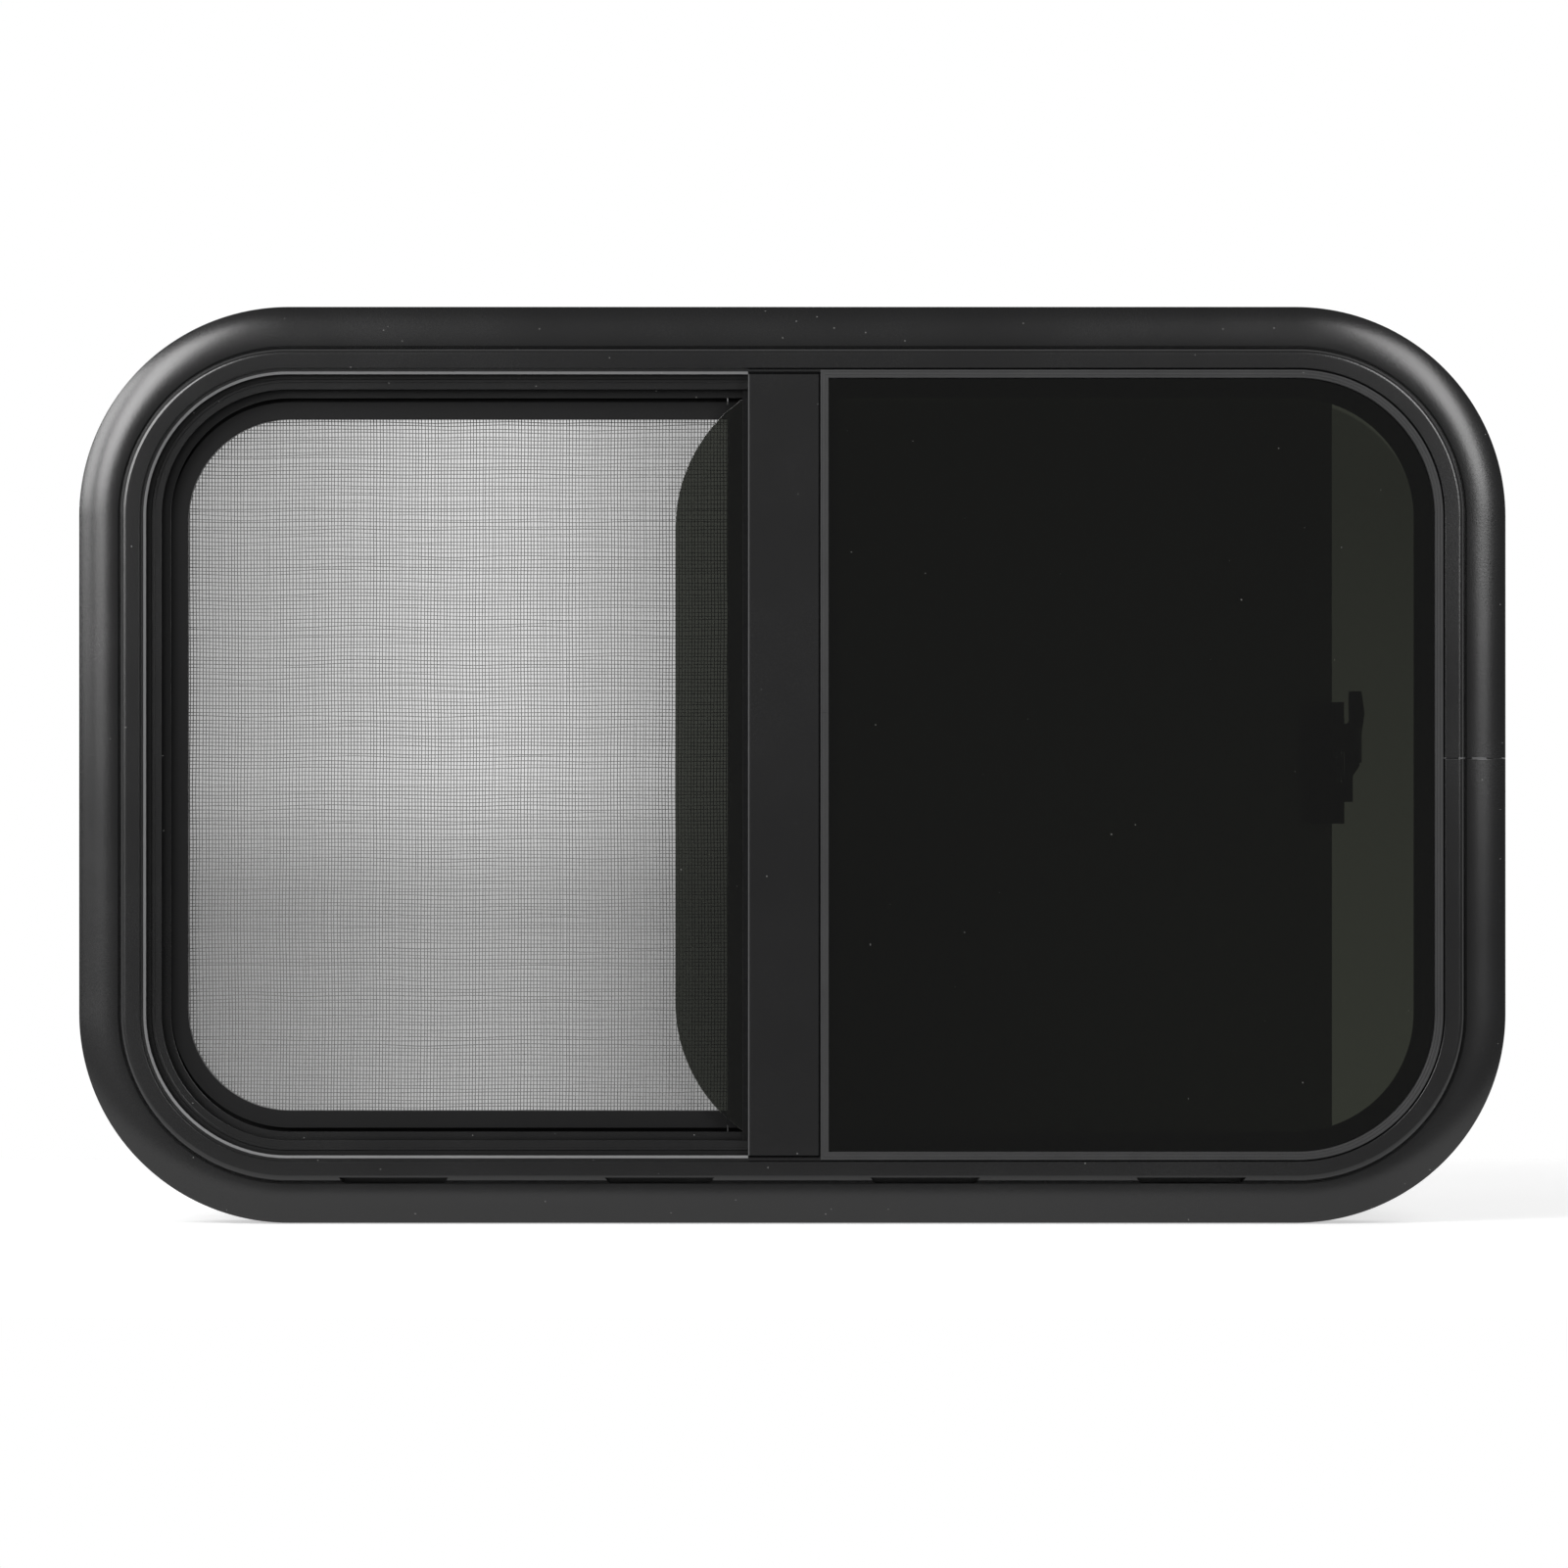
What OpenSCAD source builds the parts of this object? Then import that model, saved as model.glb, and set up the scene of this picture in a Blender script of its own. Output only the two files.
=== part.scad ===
// Sliding caravan window: a bent aluminium frame with a fixed pane, a sliding pane with a spring
// latch, an insect screen behind the opening half, and a clamp ring for the inside of the wall.
// Each piece is drawn in the plane of the window, seen from outdoors: x to the right, y up, and
// z as the height towards the viewer, with 0 on the outside of the wall. in_wall() stands it up.
// An inset is the distance inwards from the frame's outer edge.

/* [Window] */
// Overall width of the outside flange
frame_w = 640; // [620:1:760]
// Overall height of the outside flange
frame_h = 411; // [390:1:520]
// Radius of the flange's outer corners
corner_r = 94; // [90:1:100]
// Thickness of the wall that the window clamps
wall_t = 38; // [34:1:50]

/* [Flange and face] */
// Width of the convex outer band
flange_w = 17.8; // [17.6:0.1:18]
// Thickness of the flange at its rim
rim_t = 1.2; // [0.8:0.1:1.6]
// Height of the outer band at its crown
crown_h = 5; // [4.6:0.1:5.4]
// Inset of the crown
crown_u = 15.4; // [14:0.1:16.4]
// Width of each flat rib that bears on the wall
seal_rib_w = 4; // [3:0.1:5]
// Depth of the recess for the sealing tape
seal_recess_d = 1.4; // [0.8:0.1:1.8]
// Height of the inner band above the wall
face_h = 11; // [10.6:0.1:12]
// Lean of the riser between the bands
riser_lean = 1.6; // [1.2:0.1:1.8]
// Radius at the top of the riser
shoulder_r = 1.6; // [1:0.1:1.6]
// Wall thickness of the frame extrusion
skin_t = 1.6; // [1.4:0.1:1.8]

/* [Glazing pocket] */
// Inset of the bottom of the glazing pocket
pocket_u = 21.6; // [21.4:0.1:22]
// Inset of the frame's lip, where the opening starts
lip_u = 30.6; // [30:0.1:31]
// Thickness of the lip under the seal's lap
lip_t = 0.9; // [0.7:0.1:1]
// Width of the lip that the seal laps over
lap_w = 2.1; // [1.8:0.1:2.4]
// Width of the seal that shows inside the lip
seal_nose_w = 1.7; // [1.4:0.1:2.4]
// Thickness of both panes
glass_t = 4; // [3.8:0.1:4]
// Thickness of the seal behind the fixed pane and round its edge
seal_t = 1.2; // [1:0.1:1.4]

/* [Tracks] */
// Inset of the frame's body, which passes through the wall
body_u = 17.6; // [17.4:0.1:17.8]
// Depth of the frame's body behind the outside of the wall
body_d = 23; // [22:0.5:28]
// Inset of the floor of the sliding track
floor_u = 27.2; // [27:0.1:27.6]
// Width of the sliding track
track_w = 10; // [9.8:0.1:11]
// Inset of the edge of the leg before the sliding pane
front_leg_u = 37; // [36.6:0.1:37.4]
// Inset of the edge of the leg behind the sliding pane
rear_leg_u = 40.5; // [40:0.1:41]
// Thickness of the run channel
run_t = 1.1; // [0.9:0.1:1.2]
// Depth of the run channel over the edge of the sliding pane
run_grip = 7.6; // [6:0.1:8]
// Length of the run channel's pile across the glass
pile_w = 5.5; // [4:0.1:6]

/* [Mullion] */
// Place of the mullion's left edge, from the middle of the window
mullion_x = -19.8; // [-24:0.1:-16]
// Width of the mullion's flat face
mullion_w = 32.3; // [30:0.1:36]
// Width of the ledge behind the fixed pane, inside the mullion's lip
mullion_ledge_w = 6.4; // [5:0.1:7]
// Width of the pile seal that shows beside the mullion
mullion_pile_w = 2.4; // [1.8:0.1:3]

/* [Sliding pane] */
// How far the closed pane reaches behind the mullion
sash_lap = 23.6; // [20:0.1:26]
// How much rounder the pane's leading corners are than the track
sash_relief = 4.8; // [3:0.1:9]
// Radius of the sliding pane's trailing corners
sash_trail_r = 6; // [5:0.5:8]
// Gap between the sliding pane's edge and its run channel
sash_gap = 0.4; // [0.3:0.1:0.6]
// Gap between the open pane's trailing corners and the bend of the track
sash_stop_gap = 0.7; // [0.5:0.1:2]

/* [Latch] */
// Height of the latch clip
clip_h = 54.6; // [50:0.1:60]
// Width of the clip past the edge of the glass
clip_w = 5.2; // [4.6:0.1:6]
// How far the clip reaches over the inner face of the glass
clip_grip = 14.6; // [10:0.1:18]
// How far the clip's lower half reaches over the outer face of the glass
clip_front_grip = 10; // [6:0.1:12]
// Thickness of the clip's legs
clip_t = 1.6; // [1.4:0.1:1.7]
// Radius of the latch pin
pin_r = 1.2; // [1:0.1:1.3]
// Radius of the lever's knuckles
knuckle_r = 2.4; // [2.2:0.1:2.5]
// Distance of the pin behind the inner face of the glass
pin_back = 4.5; // [4.3:0.1:5]
// Outer radius of the hook, from the pin
hook_r = 10.6; // [10:0.1:11]
// Thickness of the hook
hook_t = 1.6; // [1.2:0.1:2]
// Angle from the lever's arm to the tip of the hook
hook_angle = 50.7; // [48:0.1:52]
// Height of the lever's knuckles and arm
lever_h = 35.2; // [32:0.1:38]
// How far the finger plate stands above the knuckles
finger_h = 14.6; // [12:0.1:18]
// How far the finger plate reaches past the clip
finger_reach = 9.7; // [8:0.1:11]

/* [Insect screen] */
// Width of the screen's rails and stile
screen_rail_w = 11.5; // [10:0.1:12]
// Depth of the screen's rails
screen_rail_d = 7.8; // [7:0.1:8]
// Inset of the mesh at the left
mesh_side_u = 48; // [47.5:0.1:49]
// Inset of the mesh at the top and bottom
mesh_top_u = 49.9; // [49.5:0.1:51]
// Place of the mesh's right edge, left of the mullion's left edge
mesh_mullion_gap = 9.3; // [8:0.1:10]
// Width of the spline's groove
spline_w = 4; // [3.6:0.1:4.2]
// Thickness of the mesh
mesh_t = 0.3; // [0.3:0.05:0.4]
// Columns of openings that stand for the weave
mesh_columns = 10; // [8:1:12]
// Rows of openings that stand for the weave
mesh_rows = 12; // [8:1:12]
// Width of the bars between them, which leave as much open as the wires do
mesh_bar_w = 5; // [4:0.5:6]
// Length of each screen clip along the frame
screen_clip_l = 14; // [10:1:20]
// Distance of the clips from both ends of the screen's straight rails
screen_clip_in = 6; // [4:1:20]

/* [Clamp ring] */
// Inset of the clamp ring's outer edge
ring_u = 3; // [2:0.1:5]
// Thickness of the clamp ring
ring_t = 1.6; // [1.2:0.1:2]
// Radius of the clamp screws' shanks
screw_r = 1.55; // [1.4:0.05:1.6]
// Radius of the clamp screws' heads
screw_head_r = 3.6; // [3.2:0.1:4]
// Height of the clamp screws' heads
screw_head_h = 2.2; // [1.8:0.1:2.6]
// How far the clamp screws reach into the screw channel
screw_bite = 2; // [1.5:0.1:6]
// Distance of the outer clamp screws from the frame's bends
screw_in = 16; // [10:1:30]

/* [Weep slots and joints] */
// Length of a weep slot at its wide edge
weep_l = 49; // [40:1:52]
// Width of a weep slot
weep_w = 2.2; // [1.8:0.1:2.4]
// Distance of the outer weep slots from the frame's bends
weep_in = 23; // [6:1:40]
// Gap at the frame's butt joint
joint_gap = 0.3; // [0.2:0.1:0.6]
// Height of the butt joint above the middle of the window
joint_y = 2.8; // [-10:0.1:10]

/* [Hidden] */
$fn = 96;

// Clearances, and how far a cut runs past the metal
fit = 0.1;
run_clear = 0.4;
bore_clear = 0.05;
over = 1;
eps = 0.01;

// Inset of the origin, which lies on the flange's outer bearing rib at its bottom middle
origin_u = seal_rib_w / 2;

// Frame section
crown_r = (pow(crown_u, 2) + pow(crown_h - rim_t, 2)) / (2 * (crown_h - rim_t));
valley_h = crown_h - crown_r + sqrt(pow(crown_r, 2) - pow(flange_w - crown_u, 2));
valley_w = 0.4;
riser_root = 2;
riser_u = flange_w + valley_w;
shoulder_u = riser_u + riser_lean + shoulder_r;
lap_u = lip_u - lap_w;
lap_t = 1.1;
ledge_h = face_h - lap_t;
pocket_top = ledge_h - lip_t;
bevel_w = 0.8;
leg_ridge_u = 32.6;
leg_ridge_w = 1.4;
leg_ridge_h = 0.8;

// Heights of the legs and the panes, towards the viewer
front_leg_top = skin_t;
fixed_glass_back = front_leg_top + seal_t;
fixed_glass_front = fixed_glass_back + glass_t;
fixed_glass_u = pocket_u + fit + seal_t;
rear_leg_top = -track_w;
rear_leg_back = rear_leg_top - skin_t;
sash_front = -3.5;
sash_back = sash_front - glass_t;

// Weep slots along the bottom
weep_pitch = (frame_w - 2 * corner_r - weep_l - 2 * weep_in) / 3;

// Screw channel at the back of the frame's body
screw_u = (body_u + floor_u) / 2;
screw_slot_w = 3.2;
screw_slot_d = 8;

// Mullion and fixed light
mullion_face_end = mullion_x + mullion_w;
mullion_nose_x = mullion_face_end + lap_w;
light_x = mullion_nose_x - lip_u;
mullion_web_x = light_x + pocket_u - skin_t;
mullion_ledge_x = mullion_nose_x + mullion_ledge_w;
pile_back_t = 0.8;
pile_strip_w = 5.4;
pile_foot_w = 0.5;

// Sliding pane: closed behind the mullion, drawn open with its corners at the bend of the track
sash_u = floor_u + fit + run_t + sash_gap;
sash_half_h = frame_h / 2 - sash_u;
sash_lead_r = corner_r - sash_u + sash_relief;
sash_closed_x = -frame_w / 2 + sash_u;
sash_w = mullion_x + sash_lap - sash_closed_x;
bend_reach = corner_r - floor_u - sash_stop_gap - sash_trail_r;
bend_rise = corner_r - sash_u - sash_trail_r;
bend_x = sqrt(pow(bend_reach, 2) - pow(bend_rise, 2));
sash_end = frame_w / 2 - corner_r + bend_x + sash_trail_r;
sash_x = sash_end - sash_w;
sash_open = sash_x - sash_closed_x;
run_end_gap = 2;
run_end_x = frame_w / 2 - corner_r - run_end_gap;
pile_in = 1.4;
run_pile_u = floor_u + fit + run_t + pile_in;

// Latch: clip and pin on the pane's trailing edge, then the lever
clip_x = sash_end + 2 * fit;
clip_end = clip_x + clip_w;
clip_low = -26.4;
clip_front_top = -4;
clip_back = sash_back - fit - clip_t;
pin_in = 3.1;
pin_x = clip_x + pin_in;
pin_z = sash_back - pin_back;
ear_h = 2.2;
ear_wall = 0.2;
lever_low = -16.6;
lever_top = lever_low + lever_h;
spring_low = -7.6;
spring_top = 5.8;
lever_gap = 1.3;
lever_front = clip_back - lever_gap;
lever_t = 3;
arm_w = 6.5;
arm_x = pin_x + arm_w;
arm_step_w = 3;
hook_low = 1;
hook_top = 17;
finger_top = lever_top + finger_h;
finger_end = clip_end + finger_reach;
finger_rise = 4.7;
finger_taper = 1.4;
pad_w = 7;
pad_t = 3;

// Keeper: its rib stands just outside the hook's circle when the pane is closed
closed_pin_x = pin_x - sash_open;
keeper_top = -2.9;
keeper_play = 0.5;
keeper_t = 1;
keeper_w = 13;
keeper_margin = 2;
keeper_rib_t = 1.6;
keeper_x = closed_pin_x + sqrt(pow(hook_r + keeper_play, 2) - pow(keeper_top - pin_z, 2));
rivet_r = 1.6;
rivet_h = 0.4;
rivet_in = 2.8;

// Insect screen
screen_x = -frame_w / 2 + mesh_side_u - screen_rail_w;
screen_end = mullion_x - mesh_mullion_gap + screen_rail_w;
screen_half_h = frame_h / 2 - mesh_top_u + screen_rail_w;
screen_r = corner_r - mesh_side_u + screen_rail_w;
screen_front = rear_leg_back - fit;
screen_back = screen_front - screen_rail_d;
screen_skin = 1;
groove_in = 2.8;
groove_d = 5;
spline_sink = 0.3;
mesh_rebate = 0.6;
mesh_seat = 2.4;
hollow_in = groove_in + spline_w + screen_skin;
screen_clip_t = 2;
screen_clip_first = -frame_w / 2 + corner_r + screen_clip_in + screen_clip_l / 2;
screen_clip_last = screen_end - screen_rail_w - screen_clip_in - screen_clip_l / 2;

// Clamp ring
ring_front = -wall_t;
ring_back = ring_front - ring_t;
ring_edge_h = 1.2;
screw_clear = 0.6;
screw_pitch = (frame_w - 2 * corner_r - 2 * screw_in) / 3;
screw_side_pitch = frame_h - 2 * corner_r - 2 * screw_in;

// Plate behind the frame's butt joint
joint_plate_t = 1.2;
joint_plate_h = 56;
joint_plate_x = frame_w / 2 - floor_u - fit - joint_plate_t;
joint_head_r = 2.8;
joint_head_h = 1.6;
joint_screw_near = 8;
joint_screw_far = 21;

// Stands a piece up in the wall, with the origin on the flange's bearing rib
module in_wall() {
    rotate([90, 0, 0])
        translate([0, frame_h / 2 - origin_u, 0])
            children();
}

// Extrudes an outline of the window's plane between two heights
module layer(low, high) {
    translate([0, 0, low])
        linear_extrude(high - low)
            children();
}

// Extrudes a section drawn as place and height along the window's upright direction
module upright(low, high) {
    translate([0, high, 0])
        rotate([90, 0, 0])
            linear_extrude(high - low)
                children();
}

// Rectangle with its own radius at the left and at the right corners
module plate(x0, x1, half_h, left_r, right_r) {
    ends = [[x0, left_r, 1], [x1, right_r, -1]];
    difference() {
        translate([x0, -half_h])
            square([x1 - x0, 2 * half_h]);
        for (end = ends, side = [-1, 1])
            if (end[1] > 0)
                translate([end[0], side * half_h])
                    difference() {
                        square(2 * end[1], center = true);
                        translate([end[2] * end[1], -side * end[1]])
                            circle(end[1]);
                    }
    }
}

// Outline of the whole frame at an inset
module outline(inset) {
    plate(
        -frame_w / 2 + inset, frame_w / 2 - inset, frame_h / 2 - inset,
        corner_r - inset, corner_r - inset
    );
}

// Outline of the fixed light at an inset from the frame and from the mullion
module light(inset) {
    plate(light_x + inset, frame_w / 2 - inset, frame_h / 2 - inset, 0, corner_r - inset);
}

// Outline of the screen at an inset from its outer edge
module screen_plan(inset) {
    plate(
        screen_x + inset, screen_end - inset, screen_half_h - inset,
        screen_r - inset, 0
    );
}

// Flat ring of the frame between two insets
module frame_ring(outer, inner, low, high) {
    layer(low, high)
        difference() {
            outline(outer);
            outline(inner);
        }
}

// Flat ring of the fixed light between two insets
module light_ring(outer, inner, low, high) {
    layer(low, high)
        difference() {
            light(outer);
            light(inner);
        }
}

// Flat ring of the screen between two insets
module screen_ring(outer, inner, low, high) {
    layer(low, high)
        difference() {
            screen_plan(outer);
            screen_plan(inner);
        }
}

// Keeps what lies left of a place
module left_of(x) {
    intersection() {
        children();
        translate([-frame_w, -frame_h, -2 * wall_t])
            cube([frame_w + x, 2 * frame_h, 4 * wall_t]);
    }
}

// Carries a section drawn as inset and height round the whole frame
module swept() {
    for (side = [0:3]) {
        across = side % 2 == 0 ? frame_w : frame_h;
        reach = side % 2 == 0 ? frame_h : frame_w;
        rotate(90 * side) {
            translate([corner_r - across / 2, -reach / 2, 0])
                rotate([90, 0, 90])
                    linear_extrude(across - 2 * corner_r)
                        children();
            translate([across / 2 - corner_r, reach / 2 - corner_r, 0])
                rotate_extrude(angle = 90)
                    translate([corner_r, 0])
                        mirror([1, 0])
                            children();
        }
    }
}

// Convex outer band with its flat back and the recess for sealing tape
module flange_section() {
    difference() {
        intersection() {
            translate([crown_u, crown_h - crown_r])
                circle(crown_r, $fn = 180);
            square([flange_w, crown_h]);
        }
        translate([seal_rib_w, -eps])
            square([flange_w - 2 * seal_rib_w, seal_recess_d + eps]);
    }
}

// Riser, inner band and lip over the glazing pocket
module face_section() {
    polygon([
        [flange_w - riser_root, 0],
        [flange_w - riser_root, valley_h],
        [riser_u, valley_h],
        [riser_u + riser_lean, face_h - shoulder_r],
        [shoulder_u, face_h - shoulder_r],
        [shoulder_u, face_h],
        [lap_u - bevel_w, face_h],
        [lap_u, ledge_h],
        [lip_u, ledge_h],
        [lip_u, pocket_top],
        [pocket_u, pocket_top],
        [pocket_u, 0]
    ]);
    intersection() {
        translate([shoulder_u, face_h - shoulder_r])
            circle(shoulder_r);
        translate([shoulder_u - shoulder_r, face_h - shoulder_r])
            square(shoulder_r + eps);
    }
}

// Body through the wall, with the sliding track and the screw channel
module body_section() {
    translate([body_u, 0])
        square([front_leg_u - body_u, front_leg_top]);
    translate([leg_ridge_u, 0])
        square([leg_ridge_w, front_leg_top + leg_ridge_h]);
    translate([body_u, rear_leg_back])
        square([rear_leg_u - body_u, skin_t]);
    for (wall = [body_u, floor_u - skin_t])
        translate([wall, -body_d])
            square([skin_t, body_d]);
    difference() {
        translate([body_u, -body_d])
            square([floor_u - body_u, screw_slot_d]);
        translate([screw_u - screw_slot_w / 2, -body_d - eps])
            square([screw_slot_w, screw_slot_d + 2 * eps]);
    }
}

// One weep slot, with its drain into the glazing pocket
module weep_slot() {
    slot_y = riser_u + fit - frame_h / 2;
    taper = 2;
    drain_l = weep_l / 2;
    drain_h = 3;
    layer(valley_h, face_h + over)
        polygon([
            [taper - weep_l / 2, slot_y],
            [weep_l / 2 - taper, slot_y],
            [weep_l / 2, slot_y + weep_w],
            [-weep_l / 2, slot_y + weep_w]
        ]);
    translate([-drain_l / 2, slot_y, valley_h])
        cube([drain_l, pocket_u - riser_u + over, drain_h]);
}

module outer_frame() {
    color("#2b2c2e")
        in_wall()
            difference() {
                swept() {
                    flange_section();
                    face_section();
                    body_section();
                }
                for (i = [-1.5:1:1.5])
                    translate([i * weep_pitch, 0, 0])
                        weep_slot();
                translate([0, joint_y - joint_gap / 2, -body_d - over])
                    cube([frame_w, joint_gap, body_d + face_h + 2 * over]);
                mullion_notch();
            }
}

// Gap in the ridge of the front leg where the mullion stands on it
module mullion_notch() {
    notch_h = frame_h - 2 * (leg_ridge_u - fit);
    translate([mullion_x - fit, -notch_h / 2, front_leg_top])
        cube([mullion_ledge_x - mullion_x + 2 * fit, notch_h, leg_ridge_h + fit]);
}

module frame_joint_plate() {
    color("#3a3b3d")
        in_wall()
            translate([joint_plate_x, joint_y - joint_plate_h / 2, fit - body_d])
                cube([joint_plate_t, joint_plate_h, body_d + rear_leg_back - 2 * fit]);
}

module frame_joint_screws() {
    head_z = (rear_leg_back - body_d) / 2;
    color("#8f9194")
        in_wall()
            for (side = [-1, 1], reach = [joint_screw_near, joint_screw_far])
                translate([joint_plate_x - fit, joint_y + side * reach, head_z])
                    rotate([0, -90, 0])
                        pan_head(joint_head_r, joint_head_h);
}

// Pan head with a rounded top and a cross recess
module pan_head(r, h) {
    dome_r = 2.2 * r;
    recess_l = 1.1 * r;
    recess_w = 0.2 * r;
    difference() {
        intersection() {
            cylinder(h = h, r = r);
            translate([0, 0, h - dome_r])
                sphere(dome_r);
        }
        for (turn = [0, 90])
            rotate(turn)
                translate([-recess_l / 2, -recess_w / 2, h / 2])
                    cube([recess_l, recess_w, h]);
    }
}

module mullion() {
    face_half = frame_h / 2 - lip_u - fit;
    tongue_half = frame_h / 2 - pocket_u - fit;
    back_half = frame_h / 2 - front_leg_u - fit;
    edge_w = 0.6;
    color("#2b2c2e")
        in_wall() {
            upright(-face_half, face_half)
                polygon([
                    [mullion_x, pocket_top - eps],
                    [mullion_x, face_h - edge_w],
                    [mullion_x + edge_w, face_h],
                    [mullion_face_end - bevel_w, face_h],
                    [mullion_face_end, ledge_h],
                    [mullion_nose_x, ledge_h],
                    [mullion_nose_x, pocket_top],
                    [mullion_nose_x - over, pocket_top - eps]
                ]);
            for (x = [mullion_x, mullion_web_x]) {
                translate([x, -tongue_half, front_leg_top + fit])
                    cube([skin_t, 2 * tongue_half, pocket_top - front_leg_top - 2 * fit]);
                translate([x, -face_half, front_leg_top - eps])
                    cube([skin_t, 2 * face_half, pocket_top - front_leg_top]);
            }
            translate([mullion_x, -back_half, 0])
                cube([mullion_ledge_x - mullion_x, 2 * back_half, front_leg_top]);
        }
}

module mullion_pile_seal() {
    strip_x = mullion_x - mullion_pile_w;
    strip_half = frame_h / 2 - front_leg_u - fit;
    color("#1c1c1d")
        in_wall()
            upright(-strip_half, strip_half)
                union() {
                    translate([strip_x, -fit - pile_back_t])
                        square([pile_strip_w, pile_back_t]);
                    translate([strip_x + pile_foot_w, sash_front + run_clear])
                        square([
                            pile_strip_w - 2 * pile_foot_w,
                            -fit - pile_back_t - sash_front - run_clear + eps
                        ]);
                }
}

module latch_keeper() {
    rib_end = keeper_x + keeper_rib_t;
    color("#55575a")
        in_wall()
            upright(hook_low - keeper_margin, hook_top + keeper_margin)
                polygon([
                    [rib_end - keeper_w, 0],
                    [rib_end, 0],
                    [rib_end, keeper_top],
                    [keeper_x, keeper_top],
                    [keeper_x, -keeper_t],
                    [rib_end - keeper_w, -keeper_t]
                ]);
}

module keeper_rivets() {
    rivet_x = keeper_x + keeper_rib_t - keeper_w + rivet_in;
    color("#8f9194")
        in_wall()
            for (y = [hook_low + rivet_r, hook_top - rivet_r])
                translate([rivet_x, y, -keeper_t - rivet_h])
                    cylinder(h = rivet_h, r = rivet_r);
}

module fixed_glass() {
    color("#3c4540", 0.6)
        in_wall()
            layer(fixed_glass_back, fixed_glass_front)
                light(fixed_glass_u);
}

module fixed_glass_seal() {
    nose_u = lip_u + seal_nose_w;
    color("#55575b")
        in_wall()
            difference() {
                union() {
                    light_ring(pocket_u + fit, nose_u, front_leg_top, pocket_top - fit);
                    light_ring(lip_u + fit, nose_u, pocket_top - fit - eps, ledge_h + fit);
                    light_ring(lap_u + fit, nose_u, ledge_h + fit - eps, face_h);
                }
                layer(fixed_glass_back, fixed_glass_front)
                    light(fixed_glass_u);
            }
}

module glass_run_channel() {
    edge_u = floor_u + fit + run_t;
    color("#191a1b")
        in_wall()
            left_of(run_end_x) {
                frame_ring(floor_u + fit, edge_u + eps, fit - track_w, -fit);
                for (low = [fit - track_w, -fit - run_t])
                    frame_ring(edge_u, edge_u + run_grip, low, low + run_t);
            }
}

module run_pile() {
    front_top = -fit - run_t;
    back_low = fit - track_w + run_t;
    color("#242425")
        in_wall()
            left_of(run_end_x) {
                frame_ring(run_pile_u, run_pile_u + pile_w, sash_front + run_clear, front_top);
                frame_ring(run_pile_u, run_pile_u + pile_w, back_low, sash_back - run_clear);
            }
}

// Section of the screen's rails as rings: groove behind, hollow before
module screen_rails() {
    difference() {
        screen_ring(0, screen_rail_w, screen_back, screen_front);
        screen_ring(
            screen_rail_w - groove_in - spline_w, screen_rail_w - groove_in,
            screen_back - eps, screen_back + groove_d
        );
        screen_ring(
            screen_rail_w - mesh_seat, screen_rail_w + eps,
            screen_back - eps, screen_back + mesh_rebate
        );
        screen_ring(
            screen_skin, screen_rail_w - hollow_in,
            screen_back + screen_skin, screen_front + eps
        );
    }
}

module screen_frame() {
    color("#303133")
        in_wall()
            left_of(screen_end - screen_rail_w - fit)
                screen_rails();
}

module screen_stile() {
    color("#303133")
        in_wall()
            difference() {
                screen_rails();
                left_of(screen_end - screen_rail_w)
                    screen_rails();
            }
}

module screen_spline() {
    spline_u = screen_rail_w - groove_in - spline_w;
    color("#1a1a1b")
        in_wall()
            screen_ring(
                spline_u + fit, spline_u + spline_w - fit,
                screen_back + spline_sink, screen_back + groove_d - fit
            );
}

// Insect mesh with a coarse grid of openings in place of its weave
module screen_mesh() {
    opening_x = screen_x + screen_rail_w;
    opening_half_h = screen_half_h - screen_rail_w;
    cell_w = (screen_end - screen_rail_w - opening_x) / mesh_columns;
    cell_h = 2 * opening_half_h / mesh_rows;
    color("#5c5f61", 0.7)
        in_wall()
            layer(screen_back + mesh_rebate - fit - mesh_t, screen_back + mesh_rebate - fit)
                difference() {
                    screen_plan(screen_rail_w - mesh_seat + fit);
                    intersection() {
                        screen_plan(screen_rail_w + mesh_bar_w / 2);
                        for (column = [0:mesh_columns - 1], row = [0:mesh_rows - 1])
                            translate([
                                opening_x + column * cell_w + mesh_bar_w / 2,
                                row * cell_h - opening_half_h + mesh_bar_w / 2
                            ])
                                square([cell_w - mesh_bar_w, cell_h - mesh_bar_w]);
                    }
                }
}

// One clip standing on the rear leg at the bottom side, with its lip behind the screen
module screen_clip(reach) {
    clip_low_z = screen_back - fit - screen_clip_t;
    translate([-screen_clip_l / 2, floor_u + fit - reach, clip_low_z]) {
        cube([screen_clip_l, rear_leg_u + over - floor_u, screen_clip_t]);
        cube([screen_clip_l, screen_clip_t, rear_leg_back - fit - clip_low_z]);
    }
}

module screen_clips() {
    color("#202122")
        in_wall() {
            for (x = [screen_clip_first, screen_clip_last]) {
                translate([x, 0, 0])
                    screen_clip(frame_h / 2);
                translate([x, 0, 0])
                    rotate(180)
                        screen_clip(frame_h / 2);
            }
            rotate(-90)
                screen_clip(frame_w / 2);
        }
}

module clamp_ring() {
    color("#2f3032")
        in_wall()
            difference() {
                union() {
                    frame_ring(ring_u, floor_u, ring_back, ring_front);
                    frame_ring(floor_u - ring_t, floor_u, ring_front - eps, -body_d - fit);
                    frame_ring(ring_u, ring_u + ring_t, ring_front - eps, ring_front + ring_edge_h);
                }
                clamp_screw_places("top")
                    screw_hole();
                clamp_screw_places("bottom")
                    screw_hole();
                clamp_screw_places("sides")
                    screw_hole();
                translate([-joint_gap / 2, -frame_h / 2, ring_back - over])
                    cube([joint_gap, floor_u + over, wall_t]);
            }
}

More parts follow.
